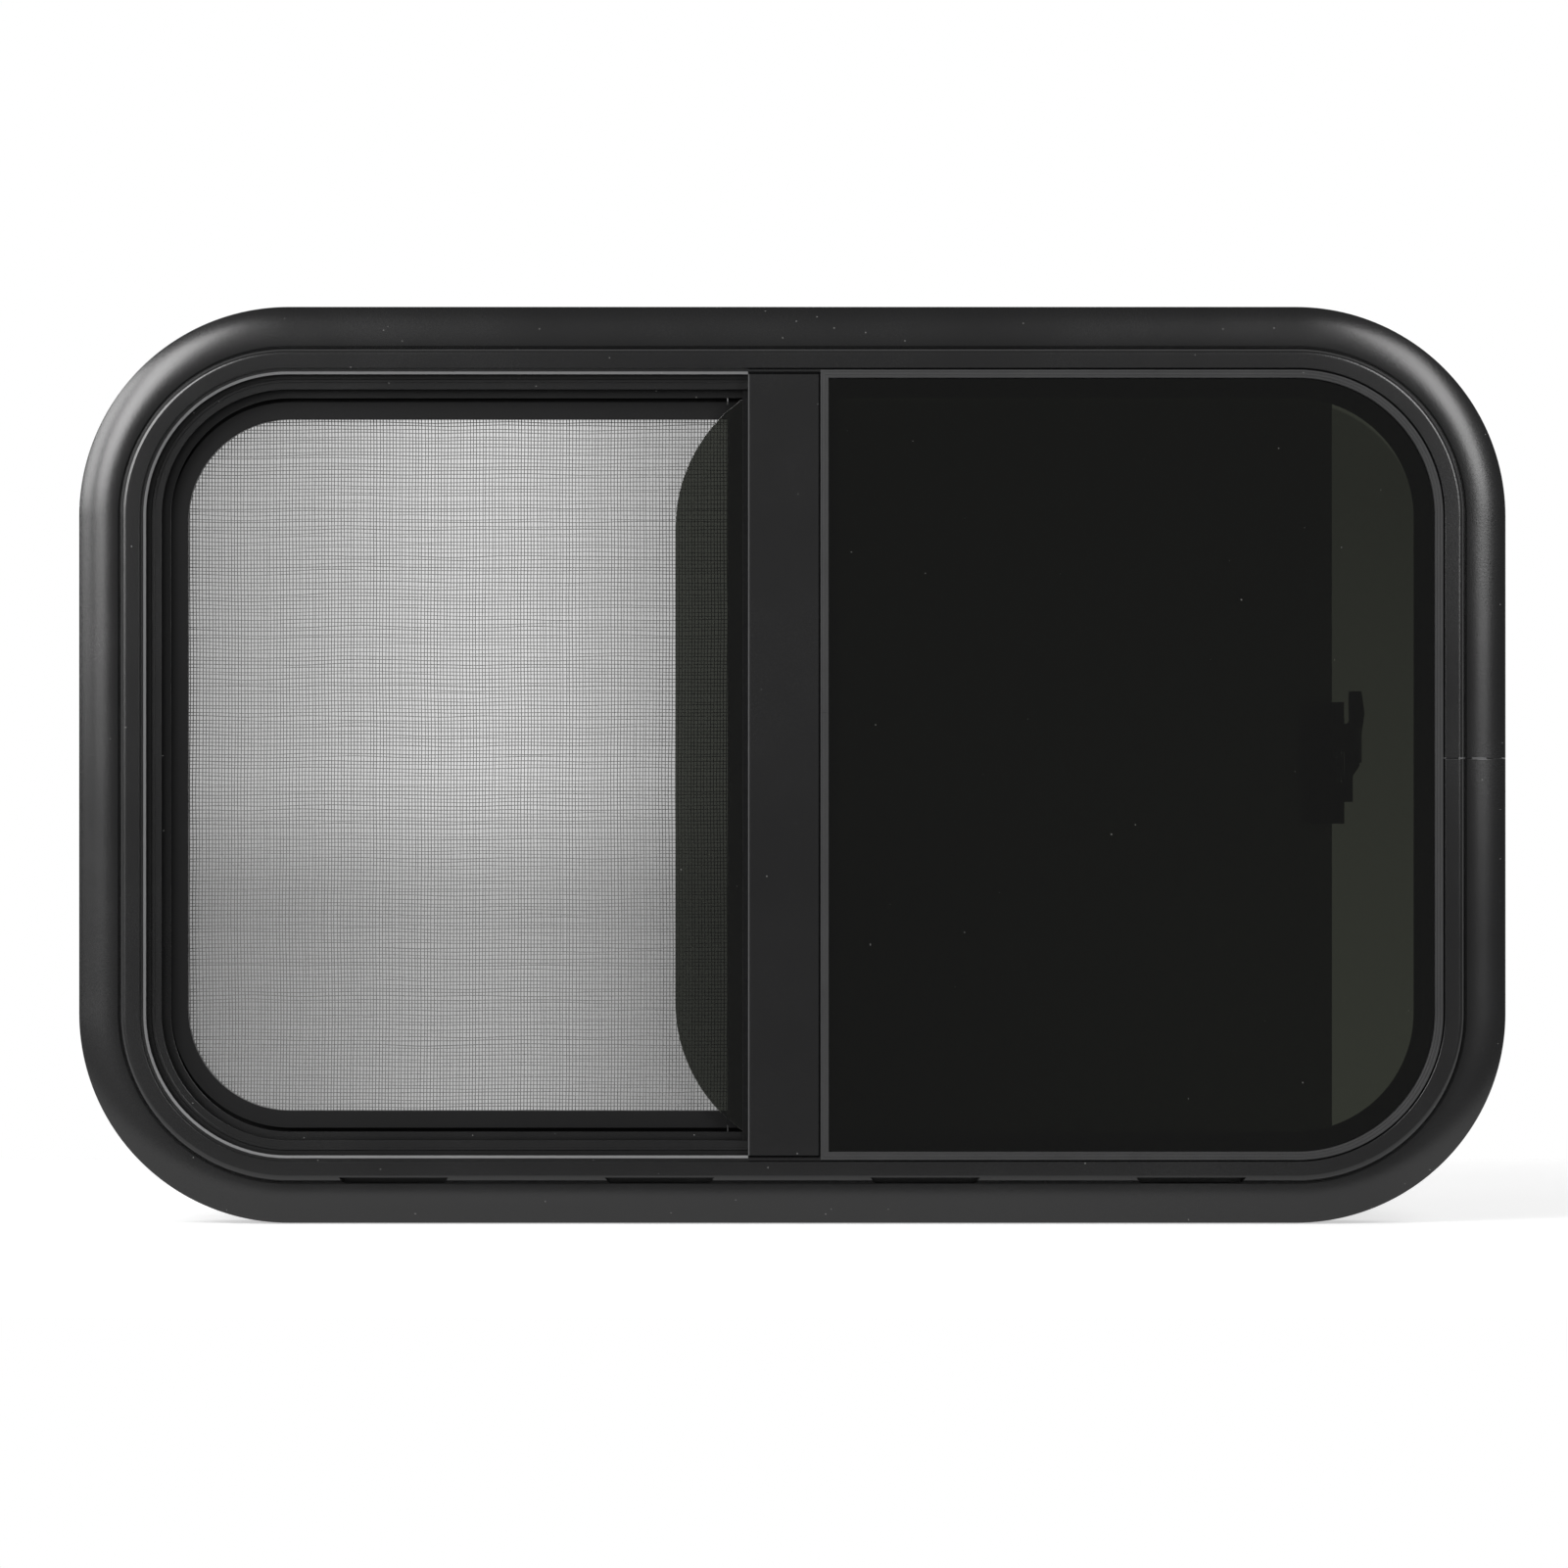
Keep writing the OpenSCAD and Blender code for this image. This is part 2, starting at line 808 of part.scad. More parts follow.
// Where the clamp screws go: four along the top and bottom, two at each side
module clamp_screw_places(which) {
    if (which == "top" || which == "bottom")
        for (i = [-1.5:1:1.5])
            translate([i * screw_pitch, (which == "top" ? 1 : -1) * (frame_h / 2 - screw_u), 0])
                children();
    if (which == "sides")
        for (side = [-1, 1], i = [-0.5, 0.5])
            translate([side * (frame_w / 2 - screw_u), i * screw_side_pitch, 0])
                children();
}

module screw_hole() {
    translate([0, 0, ring_back - over])
        cylinder(h = ring_t + 2 * over, r = screw_r + screw_clear);
}

module clamp_screw() {
    tip_z = screw_bite - body_d;
    translate([0, 0, ring_back - fit])
        mirror([0, 0, 1])
            pan_head(screw_head_r, screw_head_h);
    translate([0, 0, ring_back - fit - eps])
        cylinder(h = tip_z - ring_back + fit, r = screw_r);
}

module clamp_screws(which) {
    color("#242526")
        in_wall()
            clamp_screw_places(which)
                clamp_screw();
}

module sliding_glass() {
    color("#3c4540", 0.6)
        in_wall()
            layer(sash_back, sash_front)
                plate(sash_x, sash_end, sash_half_h, sash_lead_r, sash_trail_r);
}

// Clip on the trailing edge of the sliding pane, with two ears for the pin
module latch_clip() {
    slot_w = 3;
    ear_r = knuckle_r + ear_wall;
    front_h = clip_front_top - clip_low;
    color("#232425")
        in_wall()
            difference() {
                union() {
                    translate([clip_x, clip_low, clip_back])
                        cube([clip_w, clip_h, sash_front - clip_back]);
                    translate([sash_end - clip_grip, clip_low, clip_back])
                        cube([clip_grip + clip_w / 2, clip_h, clip_t]);
                    translate([sash_end - clip_front_grip, clip_low, sash_front + fit])
                        cube([clip_end - sash_end + clip_front_grip, front_h, clip_t]);
                    translate([clip_x, clip_low, sash_front - eps])
                        cube([clip_w, front_h, 2 * fit]);
                    for (y = [lever_low - run_clear - ear_h, lever_top + run_clear])
                        upright(y, y + ear_h)
                            union() {
                                translate([pin_x, pin_z])
                                    circle(ear_r);
                                translate([pin_x - ear_r, pin_z])
                                    square([2 * ear_r, clip_back - pin_z + eps]);
                            }
                }
                translate([pin_x - slot_w / 2, spring_low, clip_back - over])
                    cube([slot_w, spring_top - spring_low, wall_t]);
                upright(-clip_h, clip_h)
                    translate([pin_x, pin_z])
                        circle(pin_r + bore_clear);
            }
}

module latch_pin() {
    color("#9a9c9f")
        in_wall()
            upright(lever_low - run_clear - ear_h, lever_top + run_clear + ear_h)
                translate([pin_x, pin_z])
                    circle(pin_r);
}

// Torsion spring round the pin: turns that lie side by side
module latch_spring() {
    turns = 9;
    wire_r = (spring_top - spring_low - 2 * run_clear) / turns / 2;
    coil_r = pin_r + bore_clear + wire_r;
    web_t = 0.4 * wire_r;
    color("#b4b6b8")
        in_wall()
            translate([pin_x, spring_low + run_clear + wire_r, pin_z])
                rotate([-90, 0, 0])
                    union() {
                        for (turn = [0:turns - 1])
                            translate([0, 0, 2 * wire_r * turn])
                                rotate_extrude()
                                    translate([coil_r, 0])
                                        circle(wire_r - eps, $fn = 24);
                        difference() {
                            cylinder(h = 2 * wire_r * (turns - 1), r = coil_r + web_t / 2);
                            translate([0, 0, -eps])
                                cylinder(h = 2 * wire_r * turns, r = coil_r - web_t / 2);
                        }
                    }
}

// Lever on the pin: arm, finger plate with a thumb pad, and the hook that drops behind the keeper
module latch_lever() {
    back = lever_front - lever_t;
    color("#232425")
        in_wall()
            difference() {
                union() {
                    layer(back, lever_front)
                        polygon([
                            [pin_x, lever_low],
                            [arm_x, lever_low],
                            [arm_x, hook_low - 2 * arm_step_w],
                            [arm_x + arm_step_w, hook_low - arm_step_w / 2],
                            [arm_x + arm_step_w, hook_low + 2 * arm_step_w],
                            [finger_end, lever_top + finger_rise],
                            [finger_end - finger_taper, finger_top],
                            [finger_end - pad_w, finger_top],
                            [finger_end - pad_w, lever_top + over],
                            [finger_end - pad_w - over, lever_top],
                            [pin_x, lever_top]
                        ]);
                    translate([finger_end - pad_w, lever_top + arm_step_w, back - pad_t])
                        cube([
                            pad_w - finger_taper,
                            finger_h - arm_step_w - over,
                            pad_t + eps
                        ]);
                    upright(lever_low, lever_top)
                        translate([pin_x, pin_z])
                            circle(knuckle_r);
                    upright(hook_low, hook_top)
                        translate([pin_x, pin_z])
                            intersection() {
                                difference() {
                                    circle(hook_r);
                                    circle(hook_r - hook_t);
                                }
                                polygon([
                                    [0, 0],
                                    [2 * hook_r, 0],
                                    2 * hook_r * [cos(hook_angle), sin(hook_angle)]
                                ]);
                            }
                }
                upright(lever_low - over, lever_top + over)
                    translate([pin_x, pin_z])
                        circle(pin_r + bore_clear);
                translate([pin_x - knuckle_r - over, spring_low, pin_z - knuckle_r - over])
                    cube([
                        2 * knuckle_r + over + run_clear,
                        spring_top - spring_low,
                        2 * (knuckle_r + over)
                    ]);
            }
}

outer_frame();
frame_joint_plate();
frame_joint_screws();
mullion();
mullion_pile_seal();
latch_keeper();
keeper_rivets();
fixed_glass();
fixed_glass_seal();
glass_run_channel();
run_pile();
screen_frame();
screen_stile();
screen_spline();
screen_mesh();
screen_clips();
clamp_ring();
clamp_screws("top");  // clamp_screws_top
clamp_screws("bottom");  // clamp_screws_bottom
clamp_screws("sides");  // clamp_screws_sides
sliding_glass();
latch_clip();
latch_pin();
latch_spring();
latch_lever();
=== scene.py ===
from math import acos, ceil, cos, pi, radians, sin, sqrt, tan
from random import Random

import bmesh
import bpy
from mathutils import Matrix, Vector
from mathutils.noise import noise as perlin


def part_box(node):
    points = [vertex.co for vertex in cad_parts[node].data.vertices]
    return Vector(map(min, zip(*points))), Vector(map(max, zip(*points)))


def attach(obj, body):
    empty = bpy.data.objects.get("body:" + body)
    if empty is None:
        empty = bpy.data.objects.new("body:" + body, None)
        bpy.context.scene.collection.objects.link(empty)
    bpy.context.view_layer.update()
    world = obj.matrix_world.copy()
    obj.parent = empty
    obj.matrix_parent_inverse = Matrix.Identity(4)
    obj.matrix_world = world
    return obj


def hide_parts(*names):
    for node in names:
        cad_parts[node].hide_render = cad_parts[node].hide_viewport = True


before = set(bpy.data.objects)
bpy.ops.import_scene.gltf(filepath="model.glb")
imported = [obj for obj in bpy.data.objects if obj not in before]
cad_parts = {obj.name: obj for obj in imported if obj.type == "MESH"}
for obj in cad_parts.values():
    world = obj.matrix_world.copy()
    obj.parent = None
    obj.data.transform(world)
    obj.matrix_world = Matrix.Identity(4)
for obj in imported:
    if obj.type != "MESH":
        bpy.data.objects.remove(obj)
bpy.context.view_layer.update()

scene = bpy.context.scene

# Pieces are drawn in millimetres in the plane of the window, seen from outdoors:
# x to the right, y up from the middle, z towards the viewer from the outside of the wall.
frameLow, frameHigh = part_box("outer_frame")
halfWidth = (frameHigh.x - frameLow.x) * 500
halfHeight = (frameHigh.z - frameLow.z) * 500
middleZ = (frameHigh.z + frameLow.z) / 2
toWall = (
    Matrix.Translation((0, 0, middleZ))
    @ Matrix.Rotation(pi / 2, 4, "X")
    @ Matrix.Scale(0.001, 4)
)


def drawnBox(node):
    # A node's box in the drawing's millimetres: left, right, bottom, top, back, front
    low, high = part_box(node)
    return {
        "left": low.x * 1000,
        "right": high.x * 1000,
        "bottom": (low.z - middleZ) * 1000,
        "top": (high.z - middleZ) * 1000,
        "back": -high.y * 1000,
        "front": -low.y * 1000,
    }


# Materials: every one is procedural and reads object coordinates


class Shade:
    # Wraps one socket, so that sums on it add their Math nodes
    def __init__(self, tree, socket=None):
        self.tree = tree
        self.socket = socket

    def node(self, kind, settings=None, inputs=None, output=0):
        made = self.tree.nodes.new("ShaderNode" + kind)
        for name, value in (settings or {}).items():
            setattr(made, name, value)
        for name, value in (inputs or {}).items():
            if isinstance(value, Shade):
                self.tree.links.new(value.socket, made.inputs[name])
            else:
                made.inputs[name].default_value = value
        return Shade(self.tree, made.outputs[output]) if len(made.outputs) else made

    def beside(self, output):
        # Another output of the same node
        return Shade(self.tree, self.socket.node.outputs[output])

    def maths(self, operation, *values):
        return self.node("Math", {"operation": operation}, dict(enumerate(values)))

    def __add__(self, other):
        return self.maths("ADD", self, other)

    def __radd__(self, other):
        return self.maths("ADD", other, self)

    def __sub__(self, other):
        return self.maths("SUBTRACT", self, other)

    def __rsub__(self, other):
        return self.maths("SUBTRACT", other, self)

    def __mul__(self, other):
        return self.maths("MULTIPLY", self, other)

    def under(self, limit):
        return self.maths("LESS_THAN", self, limit)


def newMaterial(name):
    material = bpy.data.materials.new(name)
    material.use_nodes = True
    material.node_tree.nodes.clear()
    return material, Shade(material.node_tree)


def placeOn(tree, stretch=(1, 1, 1)):
    where = tree.node("TexCoord", output="Object")
    if stretch == (1, 1, 1):
        return where
    return tree.node("Mapping", inputs={"Vector": where, "Scale": stretch})


def noise(tree, where, scale, detail=3, roughness=0.5):
    return tree.node("TexNoise", inputs={
        "Vector": where, "Scale": scale, "Detail": detail, "Roughness": roughness,
    })


def blendColour(tree, factor, first, second):
    return tree.node(
        "Mix", {"data_type": "RGBA"}, {0: factor, 6: first, 7: second}, output=2
    )


def softStep(tree, value, start, end, low=0, high=1):
    # Runs smoothly from low to high while the value runs from start to end
    return tree.node("MapRange", {"interpolation_type": "SMOOTHSTEP"}, {
        "Value": value, "From Min": start, "From Max": end, "To Min": low, "To Max": high,
    })


def specks(tree, where, cells, share, radius):
    # Small round dots, one in a share of the cells: radius in cell widths
    distance = tree.node("TexVoronoi", inputs={"Vector": where, "Scale": cells})
    chance = tree.node("SeparateColor", inputs={"Color": distance.beside("Color")})
    return distance.under(radius) * chance.under(share)


def finishMaterial(tree, inputs, bumps=()):
    # bumps are (height, strength, distance in metres), from the first to the last
    normal = None
    for height, strength, distance in bumps:
        values = {"Height": height, "Strength": strength, "Distance": distance}
        if normal:
            values["Normal"] = normal
        normal = tree.node("Bump", inputs=values)
    if normal:
        inputs["Normal"] = normal
    surface = tree.node("BsdfPrincipled", inputs=inputs)
    tree.node("OutputMaterial", inputs={"Surface": surface})


def powderCoat(name, looks):
    # Satin coat with a fine orange peel, cloudy gloss, and dust; a face attribute paints a light grey
    # highlight on chosen edges
    material, tree = newMaterial(name)
    where = placeOn(tree)
    peel = noise(tree, where, looks["peelScale"], 2, 0.55)
    grain = noise(tree, where, looks["grainScale"], 1, 0.5)
    cloud = noise(tree, where, 9, 3, 0.6)
    dust = specks(tree, where, 130, looks["dust"], 0.034)
    lint = specks(tree, placeOn(tree, (1, 1, 3.2)), 70, looks["dust"] * 0.4, 0.03)
    marks = (dust + lint) * looks["dustLevel"]
    coat = blendColour(tree, cloud * 0.5, looks["dark"], looks["light"])
    # Painted highlight: the marked faces take a light grey that stands in for bright lines of light on
    # edges
    if "worn" in looks:
        paintedHighlight = tree.node("Attribute", {"attribute_name": "paintedHighlight"}, output="Fac")
        coat = blendColour(tree, paintedHighlight * (0.75 + cloud * 0.5), coat, looks["worn"])
    finishMaterial(
        tree,
        {
            "Base Color": blendColour(tree, marks, coat, (0.35, 0.35, 0.34, 1)),
            "Roughness": looks["roughness"] + (cloud - 0.5) * 0.14 + (grain - 0.5) * 0.1,
            "Specular IOR Level": looks["specular"],
        },
        [(peel, 0.22, 0.00012), (grain, 0.16, 0.00003)],
    )
    return material


def rubber(name, looks):
    # Matt extrusion with fine drawn lines and a little chalk
    material, tree = newMaterial(name)
    where = placeOn(tree)
    fine = noise(tree, where, 1800, 2, 0.6)
    chalk = noise(tree, where, 45, 4, 0.65)
    dust = specks(tree, where, 110, 0.2, 0.03)
    worn = blendColour(tree, chalk * 0.6, looks["dark"], looks["light"])
    finishMaterial(
        tree,
        {
            "Base Color": blendColour(tree, dust * 0.5, worn, (0.3, 0.3, 0.3, 1)),
            "Roughness": looks["roughness"] + (chalk - 0.5) * 0.2,
            "Specular IOR Level": 0.35,
        },
        [(fine, 0.25, 0.00004)],
    )
    return material


def tintedGlass(name, looks):
    # Body-tinted safety glass: the tint is the colour that the light keeps at each face
    material, tree = newMaterial(name)
    where = placeOn(tree)
    smear = noise(tree, placeOn(tree, (1, 1, 2.6)), 7, 5, 0.62)
    dust = specks(tree, where, 60, 0.9, 0.02)
    fluff = specks(tree, placeOn(tree, (2.4, 1, 1)), 38, 0.22, 0.02)
    marks = tree.maths("MAXIMUM", dust, fluff)
    finishMaterial(
        tree,
        {
            "Base Color": blendColour(tree, marks, looks["tint"], (0.3, 0.3, 0.29, 1)),
            "Metallic": marks * 0.4,  # dust hides the glass under it
            "Roughness": looks["roughness"] + smear * 0.02 + marks * 0.6,
            "Transmission Weight": 1.0,
            "IOR": 1.5,
        },
    )
    return material


def mouldedPlastic(name, looks):
    material, tree = newMaterial(name)
    where = placeOn(tree)
    spark = noise(tree, where, 2600, 2, 0.5)
    cloud = noise(tree, where, 160, 3, 0.6)
    finishMaterial(
        tree,
        {
            "Base Color": blendColour(tree, cloud, looks["dark"], looks["light"]),
            "Roughness": looks["roughness"] + (cloud - 0.5) * 0.16,
        },
        [(spark, 0.3, 0.00004)],
    )
    return material


def platedMetal(name, looks):
    # Plated or blackened steel with drawn lines and stains
    material, tree = newMaterial(name)
    lines = noise(tree, placeOn(tree, looks["draw"]), 900, 3, 0.6)
    stain = noise(tree, placeOn(tree), 240, 4, 0.6)
    finishMaterial(
        tree,
        {
            "Base Color": blendColour(tree, stain, looks["dark"], looks["light"]),
            "Metallic": looks["metallic"],
            "Roughness": looks["roughness"] + (lines - 0.5) * 0.22,
        },
        [(lines, 0.15, 0.00003)],
    )
    return material


def pileFabric(name, looks):
    # Dense upright fibres
    material, tree = newMaterial(name)
    fibre = noise(tree, placeOn(tree, looks["lie"]), 1500, 2, 0.7)
    tuft = noise(tree, placeOn(tree), 420, 3, 0.6)
    finishMaterial(
        tree,
        {
            "Base Color": blendColour(tree, fibre * tuft * 2.0, looks["dark"], looks["light"]),
            "Roughness": 0.8 + fibre * 0.2,
            "Sheen Weight": 0.12,
            "Sheen Roughness": 0.5,
            "Specular IOR Level": 0.12,
        },
        [(fibre, 0.9, 0.0004), (tuft, 0.5, 0.0003)],
    )
    return material


def meshThread(name, looks):
    # Coated glass fibre: each thread has its own shade, with slubs along it
    material, tree = newMaterial(name)
    slub = noise(tree, placeOn(tree, looks["along"]), 700, 3, 0.6)
    band = noise(tree, placeOn(tree, looks["across"]), 150, 2, 0.5)
    shade = slub * 0.45 + band * 0.55
    finishMaterial(
        tree,
        {
            "Base Color": blendColour(tree, shade, looks["dark"], looks["light"]),
            "Roughness": 0.5 + slub * 0.2,
            "Specular IOR Level": 0.4,
        },
    )
    return material


finishLooks = {
    "frameCoat": (powderCoat, {
        "dark": (0.0044, 0.0044, 0.0046, 1), "light": (0.0068, 0.0068, 0.0071, 1),
        # light grey of the painted highlight on the marked edges
        "worn": (0.19, 0.19, 0.193, 1),
        "roughness": 0.25, "specular": 0.68, "peelScale": 900, "grainScale": 4200,
        "dust": 0.6, "dustLevel": 0.6,
    }),
    "ringCoat": (powderCoat, {
        "dark": (0.012, 0.012, 0.013, 1), "light": (0.019, 0.019, 0.02, 1),
        "roughness": 0.4, "specular": 0.45, "peelScale": 800, "grainScale": 3800,
        "dust": 0.2, "dustLevel": 0.6,
    }),
    "screenPaint": (powderCoat, {
        "dark": (0.0042, 0.0042, 0.0044, 1), "light": (0.007, 0.007, 0.0073, 1),
        "roughness": 0.5, "specular": 0.2, "peelScale": 1400, "grainScale": 5200,
        "dust": 0.25, "dustLevel": 0.6,
    }),
    "sealRubber": (rubber, {
        "dark": (0.025, 0.025, 0.0255, 1), "light": (0.05, 0.05, 0.051, 1), "roughness": 0.5,
    }),
    "runRubber": (rubber, {
        "dark": (0.008, 0.008, 0.008, 1), "light": (0.016, 0.016, 0.016, 1), "roughness": 0.6,
    }),
    "fixedGlass": (tintedGlass, {
        "tint": (0.026, 0.0285, 0.021, 1), "roughness": 0.0,
    }),
    "slidingGlass": (tintedGlass, {
        "tint": (0.068, 0.0725, 0.0605, 1), "roughness": 0.0,
    }),
    "latchPlastic": (mouldedPlastic, {
        "dark": (0.01, 0.01, 0.01, 1), "light": (0.018, 0.018, 0.018, 1), "roughness": 0.5,
    }),
    "plate": (platedMetal, {
        "dark": (0.05, 0.05, 0.054, 1), "light": (0.12, 0.12, 0.125, 1),
        "metallic": 0.85, "roughness": 0.42, "draw": (1, 1, 0.05),
    }),
    "zinc": (platedMetal, {
        "dark": (0.34, 0.34, 0.36, 1), "light": (0.56, 0.56, 0.57, 1),
        "metallic": 1.0, "roughness": 0.34, "draw": (1, 0.2, 1),
    }),
    "blackScrew": (platedMetal, {
        "dark": (0.014, 0.014, 0.014, 1), "light": (0.03, 0.03, 0.031, 1),
        "metallic": 0.6, "roughness": 0.4, "draw": (1, 1, 1),
    }),
    "pile": (pileFabric, {
        "dark": (0.003, 0.003, 0.003, 1), "light": (0.014, 0.014, 0.0145, 1), "lie": (1, 0.15, 1),
    }),
    "warpThread": (meshThread, {
        "dark": (0.09, 0.09, 0.089, 1), "light": (0.25, 0.25, 0.246, 1),
        "along": (1, 1, 0.25), "across": (5, 1, 0.03),
    }),
    "weftThread": (meshThread, {
        "dark": (0.09, 0.09, 0.089, 1), "light": (0.27, 0.27, 0.266, 1),
        "along": (0.25, 1, 1), "across": (0.03, 1, 5),
    }),
}
finishes = {name: make(name, looks) for name, (make, looks) in finishLooks.items()}
print("materials made:", len(finishes))


# Mesh helpers


def addObject(name, bm):
    # Turns a bmesh into an object of the scene
    mesh = bpy.data.meshes.new(name)
    bm.to_mesh(mesh)
    bm.free()
    made = bpy.data.objects.new(name, mesh)
    scene.collection.objects.link(made)
    return made


def finishPiece(name, bm, material, body, nodes, drawn=True, cutters=None, even=True):
    # Makes a piece, set into the wall where it is drawn in millimetres; cutters, where given,
    # are a bmesh of shapes to cut out of it
    if drawn:
        bmesh.ops.transform(bm, matrix=toWall, verts=bm.verts)
    piece = addObject(name, bm)
    if cutters:
        bmesh.ops.transform(cutters, matrix=toWall, verts=cutters.verts)
        tool = addObject("cutters", cutters)
        cut = piece.modifiers.new("cut", "BOOLEAN")
        cut.operation = "DIFFERENCE"
        cut.solver = "EXACT"
        cut.use_self = True  # the cutters overlap one another
        cut.object = tool
        depsgraph = bpy.context.evaluated_depsgraph_get()
        piece.data = bpy.data.meshes.new_from_object(piece.evaluated_get(depsgraph))
        piece.modifiers.remove(cut)
        bpy.data.objects.remove(tool)
    piece.data.shade_smooth()
    if even:
        piece.data.set_sharp_from_angle(angle=radians(40))
        weigh = piece.modifiers.new("evenFaces", "WEIGHTED_NORMAL")  # broad faces stay flat
        weigh.mode = "FACE_AREA"
        weigh.keep_sharp = True
    piece.data.materials.clear()
    piece.data.materials.append(material)
    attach(piece, body)
    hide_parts(*nodes)
    print("made", name, "with", len(piece.data.polygons), "faces")
    return piece


def paintEdgeHighlight(piece, chosen, share):
    # Marks the faces whose middle, in the drawing's millimetres, is on an edge that gets a painted
    # highlight
    paintedHighlight = piece.data.attributes.new("paintedHighlight", "FLOAT", "FACE")
    fromWall = toWall.inverted()
    for face in piece.data.polygons:
        paintedHighlight.data[face.index].value = share if chosen(fromWall @ face.center) else 0


def growEdges(bm, edges):
    # Extrudes edges in place and gives the new edges and vertices
    grown = bmesh.ops.extrude_edge_only(bm, edges=edges)["geom"]
    fresh = [g for g in grown if isinstance(g, bmesh.types.BMVert)]
    return [g for g in grown if isinstance(g, bmesh.types.BMEdge)], fresh


def closeEnds(bm):
    # Fills every open end and turns the faces outwards
    bmesh.ops.holes_fill(bm, edges=[e for e in bm.edges if e.is_boundary], sides=0)
    bmesh.ops.recalc_face_normals(bm, faces=bm.faces)


def roundedSection(corners):
    # corners are (inset, height) or (inset, height, radius); a radius turns the corner into an arc
    points = []
    count = len(corners)
    for i, corner in enumerate(corners):
        here = Vector(corner[:2])
        radius = corner[2] if len(corner) > 2 else 0
        if not radius:
            points.append(tuple(here))
            continue
        before = (Vector(corners[i - 1][:2]) - here).normalized()
        after = (Vector(corners[(i + 1) % count][:2]) - here).normalized()
        half = acos(max(-1, min(1, before.dot(after)))) / 2
        centre = here + (before + after).normalized() * radius / sin(half)
        start = here + before * radius / tan(half) - centre
        end = here + after * radius / tan(half) - centre
        turn = start.angle_signed(end)
        coarsest = radians(30 if radius < 0.6 else 10)
        steps = max(2, ceil(abs(turn) / coarsest))
        for k in range(steps + 1):
            spoke = start.copy()
            spoke.rotate(Matrix.Rotation(-turn * k / steps, 2))
            points.append(tuple(centre + spoke))
    return points


def sweepSection(
    section, sides, radii, startSide=0, startAt=0, gap=0, bendSteps=40, dip=0, easeLength=0,
    above=0.6,
):
    # Carries a closed section of (inset, height) points anticlockwise round a rectangle.
    # Sides are 0 right, 1 top, 2 left, 3 bottom; radii[i] bends the corner after side i, and
    # 0 mitres it. A gap leaves a butt joint with closed ends where the sweep starts, and with
    # a dip the faces above a height sink by that much over the ease length before the joint.
    left, right, bottom, top = (sides[k] for k in ("left", "right", "bottom", "top"))
    axis = [1, 0, 1, 0]  # the axis that each side runs along
    way = [1, -1, -1, 1]  # and its direction
    edgeOf = [right, top, left, bottom]
    inward = [-1, -1, 1, 1]
    endOf = [top, left, bottom, right]
    bm = bmesh.new()
    first = []
    for inset, height in section:
        place = [0, 0, height]
        place[axis[startSide]] = startAt + way[startSide] * gap / 2
        place[1 - axis[startSide]] = edgeOf[startSide] + inward[startSide] * inset
        first.append(bm.verts.new(place))
    edges = [bm.edges.new((first[i - 1], first[i])) for i in range(len(first))]
    firstEdges = list(edges)
    sinks = [dip if height > above else 0 for inset, height in section]
    if dip:
        for v, sink in zip(first, sinks):
            v.co.z -= sink
        edges, fresh = growEdges(bm, edges)
        for v in fresh:
            v.co.z += dip if v.co.z > above - dip else 0
            v.co[axis[startSide]] += way[startSide] * easeLength
    for step in range(5):
        side = (startSide + step) % 4
        edges, fresh = growEdges(bm, edges)
        for v in fresh:
            if step == 4:
                v.co[axis[side]] = startAt - way[side] * (gap / 2 + easeLength)
                continue
            inset = abs(edgeOf[side] - v.co[1 - axis[side]])
            v.co[axis[side]] = endOf[side] - way[side] * (radii[side] or inset)
        if step < 4 and radii[side]:
            centre = [0, 0, 0]
            centre[axis[side]] = endOf[side] - way[side] * radii[side]
            centre[1 - axis[side]] = edgeOf[side] + inward[side] * radii[side]
            ring = edges + list({v for e in edges for v in e.verts})
            last = bmesh.ops.spin(
                bm, geom=ring, cent=centre, axis=(0, 0, 1), angle=pi / 2, steps=bendSteps
            )["geom_last"]
            edges = [g for g in last if isinstance(g, bmesh.types.BMEdge)]
    if dip:
        edges, fresh = growEdges(bm, edges)
        for v in fresh:
            v.co.z -= dip if v.co.z > above else 0
            v.co[axis[startSide]] += way[startSide] * easeLength
    if gap:
        bmesh.ops.contextual_create(bm, geom=firstEdges)
        bmesh.ops.contextual_create(bm, geom=edges)
    bmesh.ops.remove_doubles(bm, verts=bm.verts, dist=0.0005)
    bmesh.ops.recalc_face_normals(bm, faces=bm.faces)
    return bm


def keepSide(bm, x, side):
    # Cuts a mesh at x, keeps its left (-1) or right (1) part and closes the cut
    geom = list(bm.verts) + list(bm.edges) + list(bm.faces)
    bmesh.ops.bisect_plane(
        bm, geom=geom, dist=0.0001, plane_co=(x, 0, 0), plane_no=(-side, 0, 0), clear_outer=True
    )
    closeEnds(bm)
    return bm


